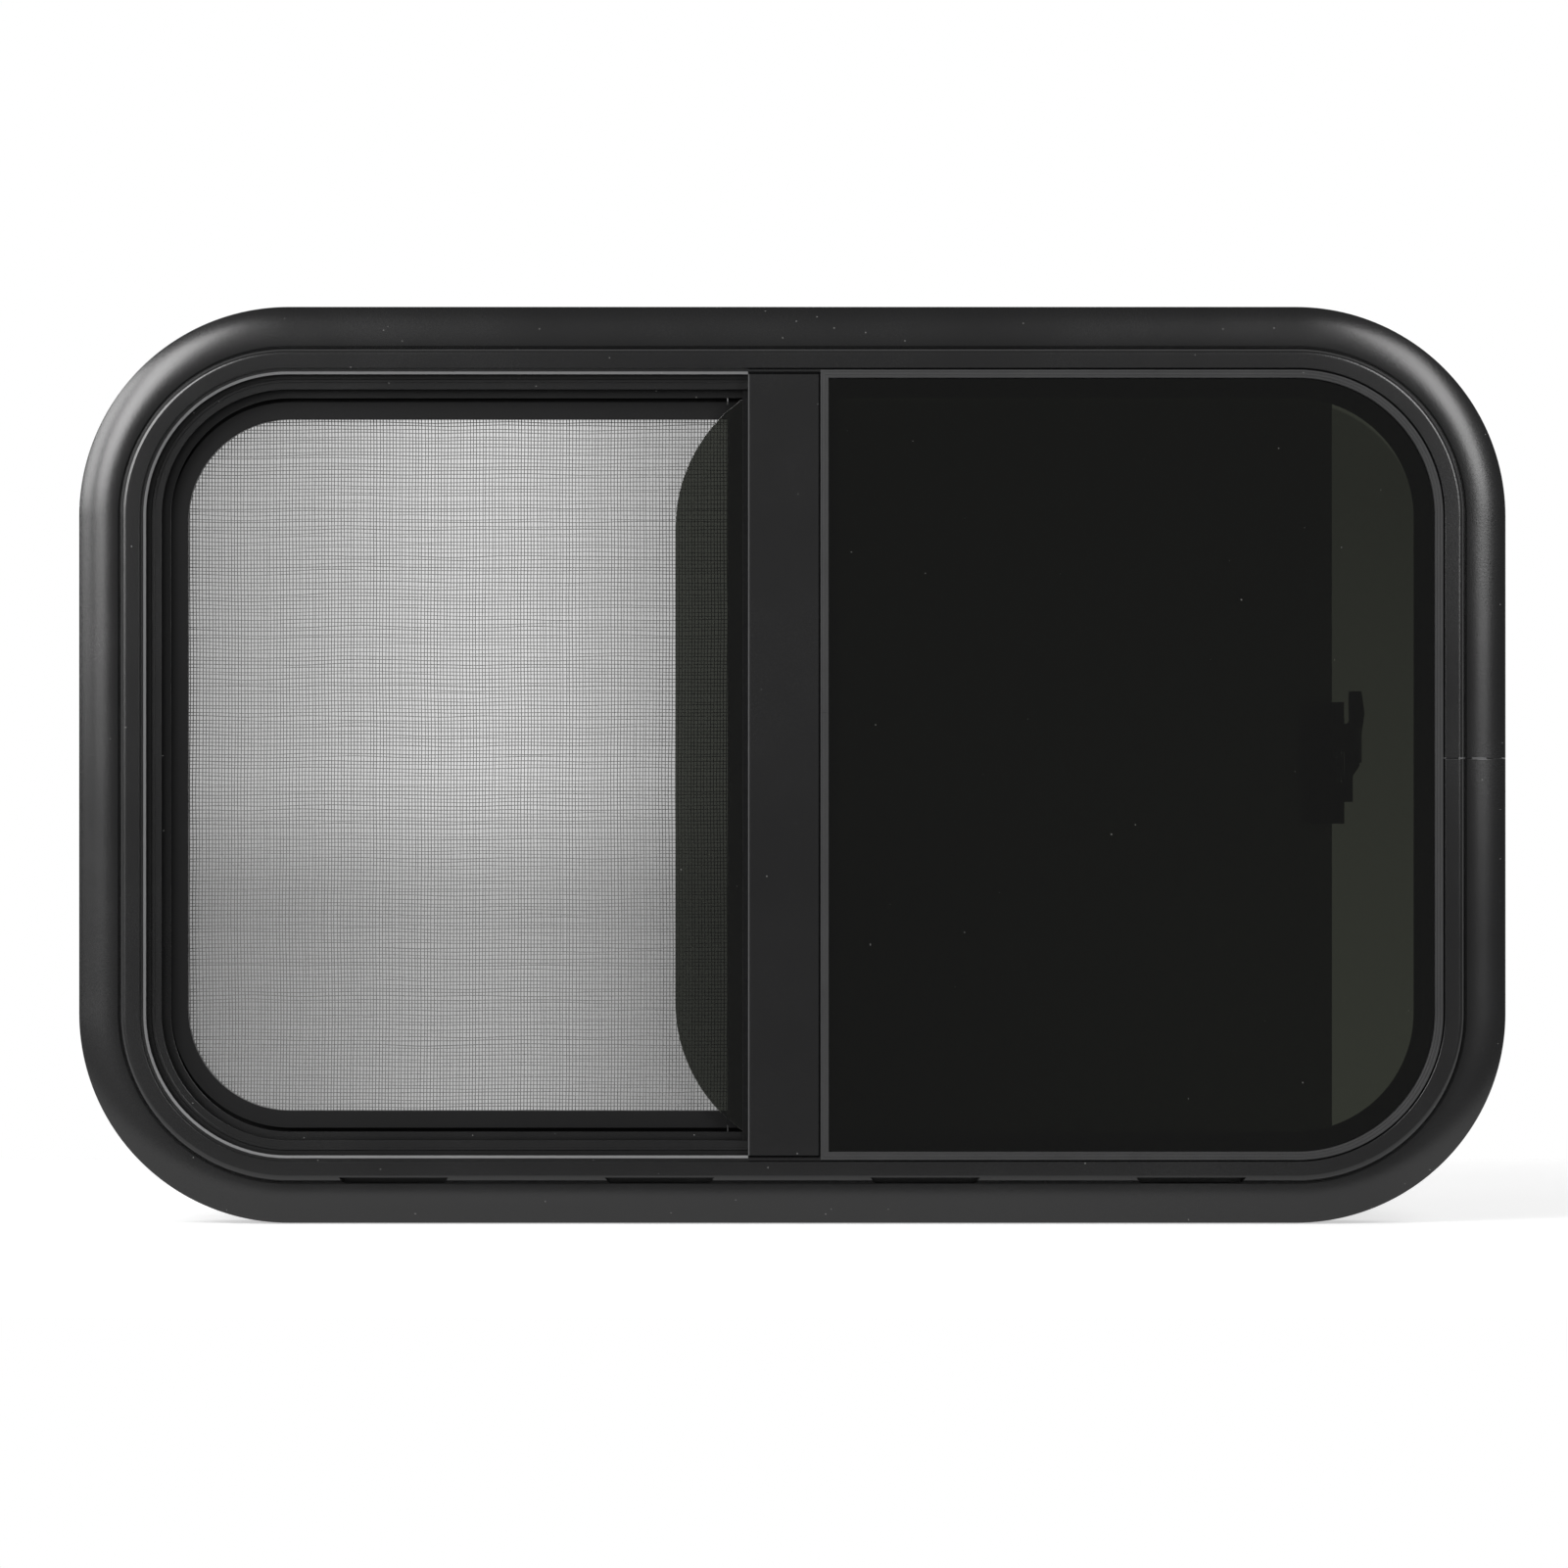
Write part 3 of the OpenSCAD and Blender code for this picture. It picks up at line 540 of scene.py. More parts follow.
def roundedPlate(box, leftRadius, rightRadius, edgeWidth, bendSteps=40):
    # A flat plate with its own corner radius at either end and ground edges
    bm = bmesh.new()
    bmesh.ops.create_cube(bm, size=1)
    size = (box["right"] - box["left"], box["top"] - box["bottom"], box["front"] - box["back"])
    bmesh.ops.scale(bm, vec=size, verts=bm.verts)
    ends = (("left", "right"), ("bottom", "top"), ("back", "front"))
    middle = [(box[low] + box[high]) / 2 for low, high in ends]
    bmesh.ops.translate(bm, vec=middle, verts=bm.verts)
    for radius, sign in ((leftRadius, -1), (rightRadius, 1)):
        posts = [
            e for e in bm.edges
            if abs(e.verts[0].co.z - e.verts[1].co.z) > size[2] / 2
            and abs(e.verts[0].co.x - (middle[0] + sign * size[0] / 2)) < 0.01
        ]
        bmesh.ops.bevel(
            bm, geom=posts, offset=radius, affect="EDGES", segments=bendSteps,
            profile=0.5, material=-1,
        )
    rims = [e for e in bm.edges if len(e.link_faces) == 2 and e.calc_face_angle() > 1]
    bmesh.ops.bevel(
        bm, geom=rims, offset=edgeWidth, affect="EDGES", segments=2, profile=0.5, material=-1
    )
    return bm


def softCopy(node, edgeWidth):
    # A merged copy of a CAD node with its sharp edges eased; widths in millimetres
    bm = bmesh.new()
    bm.from_mesh(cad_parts[node].data)
    bmesh.ops.remove_doubles(bm, verts=bm.verts, dist=0.000002)
    bmesh.ops.dissolve_limit(bm, angle_limit=radians(0.8), verts=bm.verts, edges=bm.edges)
    sharp = [
        e for e in bm.edges
        if len(e.link_faces) == 2 and e.calc_face_angle() > radians(35)
    ]
    bmesh.ops.bevel(
        bm, geom=sharp, offset=edgeWidth / 1000, affect="EDGES", segments=2,
        profile=0.5, material=-1, clamp_overlap=True,
    )
    return bm


def dressCopy(name, node, edgeWidth, finish, body="root"):
    # A CAD node with eased edges and a finish
    copy = softCopy(node, edgeWidth)
    return finishPiece(name, copy, finishes[finish], body, [node], drawn=False)


def addBlock(bm, low, high):
    made = bmesh.ops.create_cube(bm, size=1)["verts"]
    bmesh.ops.scale(bm, vec=[b - a for a, b in zip(low, high)], verts=made)
    bmesh.ops.translate(bm, vec=[(a + b) / 2 for a, b in zip(low, high)], verts=made)
    return made


mullionBox = drawnBox("mullion")
wholeWindow = {"left": -halfWidth, "right": halfWidth, "bottom": -halfHeight, "top": halfHeight}


# Outer frame: one extrusion bent round, with a butt joint at the right

outerFrame = {
    "cornerRadius": 94, "ease": 0.25, "crease": 0.12, "softCrease": 0.2,
    # convex band and the dark groove beside it
    "flangeWidth": 17.8, "rim": 1.2, "crownInset": 15.4, "crownHeight": 5, "bandSteps": 22,
    "valleyEnd": 18.3, "grooveDepth": 1.2,
    # riser, face and lip
    "riserTop": 19.7, "shoulder": 2.6, "faceHeight": 11, "faceEnd": 27.7, "faceEase": 0.3,
    "lapInset": 28.5, "ledgeHeight": 9.9,
    "lipInset": 30.6, "lipBack": 9.0, "pocket": 21.6, "noseWidth": 1.2, "noseDrop": 0.8,
    # track legs and the ridge on the front one
    "legTop": 1.6, "frontLeg": 37, "rearLeg": 40.5, "floor": 27.2, "trackBack": -10,
    "ridge": (32.6, 34), "ridgeHeight": 0.8,
    # body through the wall, with the channel for the ring's screws and the flange's tape groove
    "bodyInset": 17.6, "bodyBack": -23, "screwChannel": (20.8, 24), "channelDepth": 8,
    "tapeGroove": (4, 13.8), "tapeDepth": 1.4,
    # butt joint, with the insets of the painted highlights on its upper edge
    "jointAt": 2.8, "jointGap": 0.01, "jointDip": 0.35, "jointEase": 0.45,
    "jointHighlights": ((0, 1.3), (9, 15.6), (18.6, 22.4), (26, 28.6)),
    # weep slots and their drains
    "weepPitch": 119, "weepLength": 49, "weepStart": 17.9, "weepWidth": 2.9, "weepTaper": 2,
    "weepFloor": -10, "drainLength": 24.5, "drainHeight": 3,
    # slots for the mullion's ends
    "mullionSlot": (32.5, 34.1), "mullionSlotHeight": 1, "mullionPlay": 0.1,
}


def bandHeight(f, inset):
    # Height of the convex outer band, an arc from the rim over the crown
    rise = f["crownHeight"] - f["rim"]
    radius = (f["crownInset"] ** 2 + rise ** 2) / (2 * rise)
    return f["crownHeight"] - radius + sqrt(radius ** 2 - (inset - f["crownInset"]) ** 2)


def frameSection(f):
    ease, crease, soft = f["ease"], f["crease"], f["softCrease"]
    band = []
    for k in range(f["bandSteps"] + 1):
        inset = f["flangeWidth"] * k / f["bandSteps"]
        band.append((inset, bandHeight(f, inset)))
    band[0] = (0, f["rim"], ease)
    valley = band[-1][1]
    band[-1] = (f["flangeWidth"], valley, crease)
    face, leg = f["faceHeight"], f["legTop"]
    ridgeTop = leg + f["ridgeHeight"]
    rearBack = f["trackBack"] - leg
    groove = valley - f["grooveDepth"]
    channelFloor = f["bodyBack"] + f["channelDepth"]
    channelStart, channelEnd = f["screwChannel"]
    tapeStart, tapeEnd = f["tapeGroove"]
    return roundedSection(
        [(0, 0, soft)] + band + [
            (f["flangeWidth"], groove),
            (f["valleyEnd"], groove),
            (f["valleyEnd"], valley, crease),
            (f["riserTop"], face, f["shoulder"]),
            (f["faceEnd"], face, f["faceEase"]),
            (f["lapInset"], f["ledgeHeight"], crease),
            (f["lipInset"] - f["noseWidth"], f["ledgeHeight"], crease),
            (f["lipInset"], f["ledgeHeight"] - f["noseDrop"]),
            (f["lipInset"], f["lipBack"]),
            (f["pocket"], f["lipBack"]),
            (f["pocket"], leg),
            (f["ridge"][0], leg, 0.1),
            (f["ridge"][0], ridgeTop, 0.25),
            (f["ridge"][1], ridgeTop, 0.25),
            (f["ridge"][1], leg, 0.1),
            (f["frontLeg"], leg, ease),
            (f["frontLeg"], 0, ease),
            (f["floor"], 0, soft),
            (f["floor"], f["trackBack"], soft),
            (f["rearLeg"], f["trackBack"], ease),
            (f["rearLeg"], rearBack, ease),
            (f["floor"], rearBack, soft),
            (f["floor"], f["bodyBack"], soft),
            (channelEnd, f["bodyBack"], soft),
            (channelEnd, channelFloor),
            (channelStart, channelFloor),
            (channelStart, f["bodyBack"], soft),
            (f["bodyInset"], f["bodyBack"], soft),
            (f["bodyInset"], 0),
            (tapeEnd, 0, 0.15),
            (tapeEnd, f["tapeDepth"]),
            (tapeStart, f["tapeDepth"]),
            (tapeStart, 0, 0.15),
        ]
    )


def insetOf(point):
    # How far inside the window's rounded outline a point lies
    radius = outerFrame["cornerRadius"]
    across = abs(point.x) - (halfWidth - radius)
    up = abs(point.y) - (halfHeight - radius)
    if across > 0 and up > 0:
        return radius - sqrt(across ** 2 + up ** 2)
    return radius - max(across, up)


def frameCutters(f):
    # Weep slots with their drains, and the slots for the mullion's ends
    cutters = bmesh.new()
    low = f["weepStart"] - halfHeight
    valley = bandHeight(f, f["flangeWidth"])
    for i in (-1.5, -0.5, 0.5, 1.5):
        middle = i * f["weepPitch"]
        half = f["weepLength"] / 2
        slot = addBlock(
            cutters, (middle - half, low, f["weepFloor"]),
            (middle + half, low + f["weepWidth"], f["faceHeight"] + 1),
        )
        for v in slot:
            if v.co.y < low + 1:
                v.co.x += f["weepTaper"] if v.co.x < middle else -f["weepTaper"]
        drain = f["drainLength"] / 2
        addBlock(
            cutters, (middle - drain, low + 0.2, valley + 0.1),
            (middle + drain, f["pocket"] - halfHeight + 0.5, valley + f["drainHeight"]),
        )
    for side in (-1, 1):
        reach = sorted(side * (halfHeight - inset) for inset in f["mullionSlot"])
        addBlock(
            cutters, (mullionBox["left"] - f["mullionPlay"], reach[0], f["legTop"]),
            (mullionBox["right"] + f["mullionPlay"], reach[1], f["legTop"] + f["mullionSlotHeight"]),
        )
    return cutters


def buildOuterFrame(f):
    bm = sweepSection(
        frameSection(f), wholeWindow, [f["cornerRadius"]] * 4,
        startSide=0, startAt=f["jointAt"], gap=f["jointGap"], bendSteps=48,
        dip=f["jointDip"], easeLength=f["jointEase"],
    )
    # An edge beside the mullion, where the painted highlight line ends
    bmesh.ops.bisect_plane(
        bm, geom=list(bm.verts) + list(bm.edges) + list(bm.faces), dist=0.0001,
        plane_co=(mullionBox["left"], 0, 0), plane_no=(1, 0, 0),
    )
    skin = finishPiece(
        "outer_frame_skin", bm, finishes["frameCoat"], "root", ["outer_frame"],
        cutters=frameCutters(f),
    )
    noseStart = f["lipInset"] - f["noseWidth"]

    def getsPaintedHighlight(here):
        # A painted highlight: a lighter line all round the opening, and lighter patches on the butt
        # joint's upper edge
        inset = insetOf(here)
        if here.x < mullionBox["left"]:
            onChamfer = f["lipBack"] < here.z < f["ledgeHeight"] - 0.05
            return onChamfer and noseStart < inset < f["lipInset"] - 0.02
        onJointHighlight = any(start < inset < end for start, end in f["jointHighlights"])
        return onJointHighlight and here.z > f["jointDip"] and 0.02 < here.y - f["jointAt"] < f["jointEase"]

    paintEdgeHighlight(skin, getsPaintedHighlight, 1)


buildOuterFrame(outerFrame)

# Mullion and its pile

mullionLooks = {"ease": 0.4, "edge": 0.62, "highlightShare": 0.35, "pileEase": 0.2}

mullionBar = dressCopy("mullion_bar", "mullion", mullionLooks["ease"], "frameCoat")
# A painted highlight along the mullion's left front edge
paintEdgeHighlight(
    mullionBar,
    lambda here: (
        here.x < mullionBox["left"] + mullionLooks["edge"]
        and mullionBox["front"] - mullionLooks["edge"] < here.z < mullionBox["front"] - 0.02
    ),
    mullionLooks["highlightShare"],
)
dressCopy("mullion_pile", "mullion_pile_seal", mullionLooks["pileEase"], "pile")

# Grey bead of the fixed pane

bead = {
    "lap": 28.6, "nose": 32.3, "top": 11, "ledge": 10, "lip": 30.7, "under": 8.9,
    "pocket": 21.7, "paneEdge": 22.9, "paneBack": 2.8, "paneFront": 6.8, "foot": 1.6,
    "ridges": (29.75, 31.15), "ridgeDepth": 0.32, "ridgeWidth": 0.6,
    "jointAt": 23.3, "jointGap": 0.12,
}


def buildBead(b):
    lightLeft = drawnBox("fixed_glass_seal")["left"] - b["pocket"]
    crownLine = [(b["lap"], b["top"], 0.25)]
    for ridge in b["ridges"]:
        crownLine += [
            (ridge - b["ridgeWidth"] / 2, b["top"]),
            (ridge, b["top"] - b["ridgeDepth"], 0.3),
            (ridge + b["ridgeWidth"] / 2, b["top"]),
        ]
    section = roundedSection(
        crownLine + [
            (b["nose"], b["top"], 0.35),
            (b["nose"], b["paneFront"], 0.15),
            (b["paneEdge"], b["paneFront"]),
            (b["paneEdge"], b["paneBack"]),
            (b["nose"], b["paneBack"], 0.15),
            (b["nose"], b["foot"], 0.2),
            (b["pocket"], b["foot"]),
            (b["pocket"], b["under"]),
            (b["lip"], b["under"]),
            (b["lip"], b["ledge"]),
            (b["lap"], b["ledge"], 0.1),
        ]
    )
    radius = outerFrame["cornerRadius"]
    bm = sweepSection(
        section, {**wholeWindow, "left": lightLeft}, [radius, 0, 0, radius],
        startSide=2, startAt=b["jointAt"], gap=b["jointGap"], bendSteps=44,
    )
    finishPiece(
        "pane_bead", bm, finishes["sealRubber"], "root", ["fixed_glass_seal"]
    )


buildBead(bead)

# Panes

panes = {"arris": 0.35, "plainRadius": 0.6, "fixedRadius": 71.1, "leadRadius": 70, "trailRadius": 6}

finishPiece(
    "fixed_pane",
    roundedPlate(
        drawnBox("fixed_glass"), panes["plainRadius"], panes["fixedRadius"], panes["arris"]
    ),
    finishes["fixedGlass"], "root", ["fixed_glass"],
)
finishPiece(
    "sliding_pane",
    roundedPlate(drawnBox("sliding_glass"), panes["leadRadius"], panes["trailRadius"], panes["arris"]),
    finishes["slidingGlass"], "sash", ["sliding_glass"],
)

# Run channel of the sliding pane, with its pile

runChannel = {
    "floor": 27.3, "web": 28.4, "mouth": 36, "front": -0.1, "back": -9.9, "thick": 1.1,
    "pileInset": 29.8, "pileMouth": 35.3, "pileGap": 0.4,
}


def buildRun(r):
    slot = drawnBox("glass_run_channel")
    radius = outerFrame["cornerRadius"]
    section = roundedSection([
        (r["floor"], r["front"], 0.3),
        (r["mouth"], r["front"], 0.3),
        (r["mouth"], r["front"] - r["thick"], 0.4),
        (r["web"], r["front"] - r["thick"]),
        (r["web"], r["back"] + r["thick"]),
        (r["mouth"], r["back"] + r["thick"], 0.4),
        (r["mouth"], r["back"], 0.3),
        (r["floor"], r["back"], 0.3),
    ])
    bm = keepSide(sweepSection(section, wholeWindow, [radius] * 4), slot["right"], -1)
    finishPiece(
        "run_channel", bm, finishes["runRubber"], "root", ["glass_run_channel"]
    )
    glass = drawnBox("sliding_glass")
    strips = bmesh.new()
    for low, high in (
        (glass["front"] + r["pileGap"], r["front"] - r["thick"]),
        (r["back"] + r["thick"], glass["back"] - r["pileGap"]),
    ):
        section = roundedSection([
            (r["pileInset"], low, 0.2), (r["pileMouth"], low, 0.5),
            (r["pileMouth"], high, 0.5), (r["pileInset"], high, 0.2),
        ])
        strip = keepSide(sweepSection(section, wholeWindow, [radius] * 4), slot["right"], -1)
        part = bpy.data.meshes.new("strip")
        strip.to_mesh(part)
        strip.free()
        strips.from_mesh(part)
        bpy.data.meshes.remove(part)
    finishPiece("run_pile_strips", strips, finishes["pile"], "root", ["run_pile"])


buildRun(runChannel)

# Insect screen

screen = {
    "rail": 11.5, "radius": 57.5, "skin": 1, "hollowEnd": 3.7, "grooveStart": 4.7,
    "grooveEnd": 8.7, "grooveDepth": 5, "seat": 9.1, "rebate": 0.6, "ease": 0.3, "meshLap": 2.3,
    "warpPitch": 1.45, "weftPitch": 1.68, "thread": 0.235, "wave": 0.13, "splineSink": 0.3,
    "warpDrift": 0.05, "weftDrift": 0.12, "warpUneven": 0.06, "weftUneven": 0.16,
    "warpWander": 0.15, "weftWander": 0.5, "wanderLength": 26,
    "sag": 0.55, "sagLength": 45, "seed": 7,
}


def screenSection(s, back, front):
    return roundedSection([
        (0, back, s["ease"]),
        (0, front, s["ease"]),
        (s["skin"], front, 0.2),
        (s["skin"], back + s["skin"]),
        (s["hollowEnd"], back + s["skin"]),
        (s["hollowEnd"], front, 0.2),
        (s["rail"], front, s["ease"]),
        (s["rail"], back + s["rebate"], 0.15),
        (s["seat"], back + s["rebate"]),
        (s["seat"], back, 0.1),
        (s["grooveEnd"], back, 0.1),
        (s["grooveEnd"], back + s["grooveDepth"]),
        (s["grooveStart"], back + s["grooveDepth"]),
        (s["grooveStart"], back, 0.2),
    ])


def buildScreenFrame(s):
    rails, stile = drawnBox("screen_frame"), drawnBox("screen_stile")
    sides = {**rails, "right": stile["right"]}
    radii = [0, s["radius"], s["radius"], 0]
    section = screenSection(s, rails["back"], rails["front"])
    bm = keepSide(sweepSection(section, sides, radii), rails["right"], -1)
    finishPiece("screen_rails", bm, finishes["screenPaint"], "root", ["screen_frame"])
    bm = keepSide(sweepSection(section, sides, radii), stile["left"], 1)
    finishPiece("screen_post", bm, finishes["screenPaint"], "root", ["screen_stile"])
    low = rails["back"] + s["splineSink"]
    high = rails["back"] + s["grooveDepth"] - 0.1
    spline = roundedSection([
        (s["grooveStart"] + 0.1, low, 1.2),
        (s["grooveStart"] + 0.1, high, 0.4),
        (s["grooveEnd"] - 0.1, high, 0.4),
        (s["grooveEnd"] - 0.1, low, 1.2),
    ])
    bm = sweepSection(spline, sides, radii)
    finishPiece("spline_cord", bm, finishes["runRubber"], "root", ["screen_spline"])


def loosenThreads(bm, s, upright, firstAt, pitch, count):
    # Each thread drifts, swells, wanders and sags a little, as in a mesh stretched by hand
    kind, across = ("warp", 0) if upright else ("weft", 1)
    chance = Random(s["seed"] + across)
    drift = [chance.gauss(0, s[kind + "Drift"]) for i in range(count)]
    swell = [1 + chance.uniform(-1, 1) * s[kind + "Uneven"] for i in range(count)]
    for v in bm.verts:
        i = min(count - 1, max(0, round((v.co[across] - firstAt) / pitch)))
        middle = firstAt + i * pitch
        where = Vector((v.co.x, v.co.y, across * 90)) / s["sagLength"]
        where[across] *= 0.4
        along = Vector((v.co[1 - across] / s["wanderLength"], i * 7.3, across * 50))
        v.co[across] = middle + (v.co[across] - middle) * swell[i] + drift[i]
        v.co[across] += s["sag"] * perlin(where) + s[kind + "Wander"] * perlin(along)


def trimThreads(bm, s, plate):
    # Cuts the threads off round the left corners, where the spline holds them
    radius = s["radius"] - (s["rail"] - s["meshLap"])
    cornerX = plate["left"] + radius
    outside = []
    for v in bm.verts:
        cornerY = plate["top"] - radius if v.co.y > 0 else plate["bottom"] + radius
        beyond = abs(v.co.y) > abs(cornerY) and v.co.x < cornerX
        if beyond and (v.co.x - cornerX) ** 2 + (v.co.y - cornerY) ** 2 > radius ** 2:
            outside.append(v)
    bmesh.ops.delete(bm, geom=outside, context="VERTS")
    closeEnds(bm)


def buildThreads(s, name, upright, material, nodes):
    # Threads that go over and under those of the other direction, cut to the screen's outline
    plate = drawnBox("screen_mesh")
    height = (plate["back"] + plate["front"]) / 2
    pitch, step = (s["warpPitch"], s["weftPitch"]) if upright else (s["weftPitch"], s["warpPitch"])
    low, high = ("left", "right") if upright else ("bottom", "top")
    start, end = ("bottom", "top") if upright else ("left", "right")
    count = int((plate[high] - plate[low]) / pitch)
    firstAt = (plate[low] + plate[high] - (count - 1) * pitch) / 2
    crossings = int((plate[end] - plate[start]) / step)
    firstCross = (plate[start] + plate[end] - (crossings - 1) * step) / 2
    bm = bmesh.new()
    pair = []
    for odd in (0, 1):
        ring = bmesh.ops.create_circle(bm, segments=3, radius=s["thread"])["verts"]
        turn = Matrix.Rotation(-pi / 2, 3, "X") if upright else Matrix.Rotation(pi / 2, 3, "Y")
        bmesh.ops.rotate(bm, matrix=turn, verts=ring)
        place = Vector((firstAt + odd * pitch, firstCross, 0))
        if not upright:
            place = Vector((firstCross, firstAt + odd * pitch, 0))
        side = 1 if (odd == 0) == upright else -1
        place.z = height + side * s["wave"]
        bmesh.ops.translate(bm, vec=place, verts=ring)
        ringEdges = list({e for v in ring for e in v.link_edges})
        thread = list(ring)
        for k in range(1, crossings):
            ringEdges, fresh = growEdges(bm, ringEdges)
            lift = -2 * side * s["wave"] * (1 if k % 2 else -1)
            bmesh.ops.translate(bm, vec=(0, step, lift) if upright else (step, 0, lift), verts=fresh)
            thread += fresh
        faces = list({f for v in thread for f in v.link_faces})
        edges = list({e for v in thread for e in v.link_edges})
        pair.append(thread + edges + faces)
    for odd, geom in enumerate(pair):
        bmesh.ops.spin(
            bm, geom=geom, cent=(0, 0, 0), axis=(0, 0, 1), angle=0,
            dvec=(2 * pitch, 0, 0) if upright else (0, 2 * pitch, 0),
            steps=ceil((count - odd) / 2) - 1, use_duplicate=True,
        )
    loosenThreads(bm, s, upright, firstAt, pitch, count)
    trimThreads(bm, s, plate)
    finishPiece(name, bm, material, "root", nodes, even=False)


buildScreenFrame(screen)
buildThreads(screen, "mesh_warp", True, finishes["warpThread"], ["screen_mesh"])
buildThreads(screen, "mesh_weft", False, finishes["weftThread"], ["screen_mesh"])
dressCopy("screen_clip_set", "screen_clips", screen["ease"], "latchPlastic")

# Clamp ring and its screws

clampRing = {
    "outer": 3, "inner": 27.2, "thick": 1.6, "lip": 1.2, "sleeveTop": -23.1,
    "screwInset": 22.4, "topPitch": 140, "sidePitch": 191, "hole": 2.15, "jointGap": 0.3,
    "screwEase": 0.18,
}


def buildClampRing(c):
    back = drawnBox("clamp_ring")["back"]
    front = back + c["thick"]
    section = roundedSection([
        (c["outer"], back, 0.5),
        (c["outer"], front + c["lip"], 0.3),
        (c["outer"] + c["thick"], front + c["lip"], 0.3),
        (c["outer"] + c["thick"], front, 0.2),
        (c["inner"] - c["thick"], front, 0.3),
        (c["inner"] - c["thick"], c["sleeveTop"], 0.3),
        (c["inner"], c["sleeveTop"], 0.3),
        (c["inner"], back, 1.0),
    ])
    bm = sweepSection(
        section, wholeWindow, [outerFrame["cornerRadius"]] * 4,
        startSide=3, startAt=0, gap=c["jointGap"], bendSteps=44,
    )
    cutters = bmesh.new()
    rowY = halfHeight - c["screwInset"]
    rowX = halfWidth - c["screwInset"]
    spots = [(i * c["topPitch"], s * rowY) for i in (-1.5, -0.5, 0.5, 1.5) for s in (-1, 1)]
    spots += [(s * rowX, i * c["sidePitch"]) for i in (-0.5, 0.5) for s in (-1, 1)]
    for x, y in spots:
        made = bmesh.ops.create_cone(
            cutters, cap_ends=True, segments=32, radius1=c["hole"], radius2=c["hole"], depth=6
        )["verts"]
        bmesh.ops.translate(cutters, vec=(x, y, (back + front) / 2), verts=made)
    finishPiece(
        "clamp_ring_skin", bm, finishes["ringCoat"], "root", ["clamp_ring"],
        cutters=cutters,
    )


buildClampRing(clampRing)
for side in ("top", "bottom", "sides"):
    dressCopy(
        "ring_screws_" + side, "clamp_screws_" + side, clampRing["screwEase"], "blackScrew",
    )

# Plate behind the butt joint, and the keeper

fittings = {"plateEase": 0.2, "headEase": 0.15}

for name, node, ease, finish, slot in (
    ("joint_plate", "frame_joint_plate", "plateEase", "plate", "plate_metal"),
    ("joint_plate_screws", "frame_joint_screws", "headEase", "zinc", "screw_metal"),
    ("keeper_plate", "latch_keeper", "plateEase", "plate", "plate_metal"),
    ("keeper_rivet_heads", "keeper_rivets", "headEase", "zinc", "screw_metal"),
):
    dressCopy(name, node, fittings[ease], finish)

# Latch

latch = {"ease": 0.3, "pinEase": 0.2, "coils": 9, "coilSteps": 28, "wireSides": 10, "slack": 0.94}

for name, node, ease, finish, slot, body in (
    ("latch_clip_body", "latch_clip", "ease", "latchPlastic", "latch_plastic", "sash"),
    ("latch_lever_body", "latch_lever", "ease", "latchPlastic", "latch_plastic", "lever"),
    ("latch_pin_rod", "latch_pin", "pinEase", "zinc", "screw_metal", "sash"),
):
    dressCopy(name, node, latch[ease], finish, body)


def buildSpring(s):
    # One wire wound round the pin as a helix
    box = drawnBox("latch_spring")
    wire = (box["top"] - box["bottom"]) / s["coils"] / 2
    centre = Vector(((box["left"] + box["right"]) / 2, 0, (box["back"] + box["front"]) / 2))
    reach = (box["right"] - box["left"]) / 2 - wire
    bm = bmesh.new()
    ring = bmesh.ops.create_circle(bm, segments=s["wireSides"], radius=wire * s["slack"])["verts"]
    bmesh.ops.translate(bm, vec=centre + Vector((reach, box["bottom"] + wire, 0)), verts=ring)
    ringEdges = list({e for v in ring for e in v.link_edges})
    turns = s["coils"] - 1
    steps = turns * s["coilSteps"]
    bmesh.ops.spin(
        bm, geom=ring + ringEdges, cent=centre, axis=(0, 1, 0), angle=2 * pi * turns,
        dvec=(0, (box["top"] - box["bottom"] - 2 * wire) / steps, 0), steps=steps,
    )
    closeEnds(bm)
    finishPiece(
        "latch_spring_wire", bm, finishes["zinc"], "sash", ["latch_spring"]
    )


buildSpring(latch)

# Floor, card, light and camera

studio = {
    # the photo's frame and the window's outline in it, in pixels
    "lens": 200, "sensor": 36, "pixels": 1601, "outlineLeft": 81, "outlineRight": 1537,
    "outlineTop": 313.5, "outlineBottom": 1248.5,
    # floor: its size in metres, and its glow for seen and for mirrored rays
    "floorDrop": 0.0005, "floorWidth": 6, "floorDepth": 1.36, "floorGlow": 0.54,
    "floorGloss": 0.24, "floorDulling": 0.65, "nearFloor": (-0.2, -0.07),
    # room: the levels that mirrored and diffuse rays see, and where front turns into back
    "frontGloss": 0.2, "ambient": 0.15, "roomTurn": (-0.4, 0.3),
    # card: place, then start, end, low and high of each change of tone of the painted shadow on it
    "cardDistance": 5, "cardInset": 37.5, "cardLeft": (-0.66, -0.3, 0.44, 0.73),
    "cardRight": (-0.3, -0.08, 1, 0.64), "cardLow": (0.06, 0.22, 0.64, 1),
    "cardPane": (-0.15, 0.5, 0.95, 0.5), "cardChange": (0.06, 0.52),
}

# aim, bearing and rise in degrees, distance, size, radiance
lamps = {
    "leftInner": ((-0.31, 0, 0.3), -24, 20.5, 2.0, (0.62, 1.25), 9.8),
    "leftOuter": ((-0.31, 0, 0.3), -48, 20.5, 2.0, (0.62, 1.25), 8.6),
    "rightPanel": ((0.31, 0, 0.3), 22, 20, 2.0, (0.62, 1.25), 7.2),
    "backPanel": ((0, 0, 0.2), 160, 35, 2.6, (1.6, 1.2), 3.0),
}

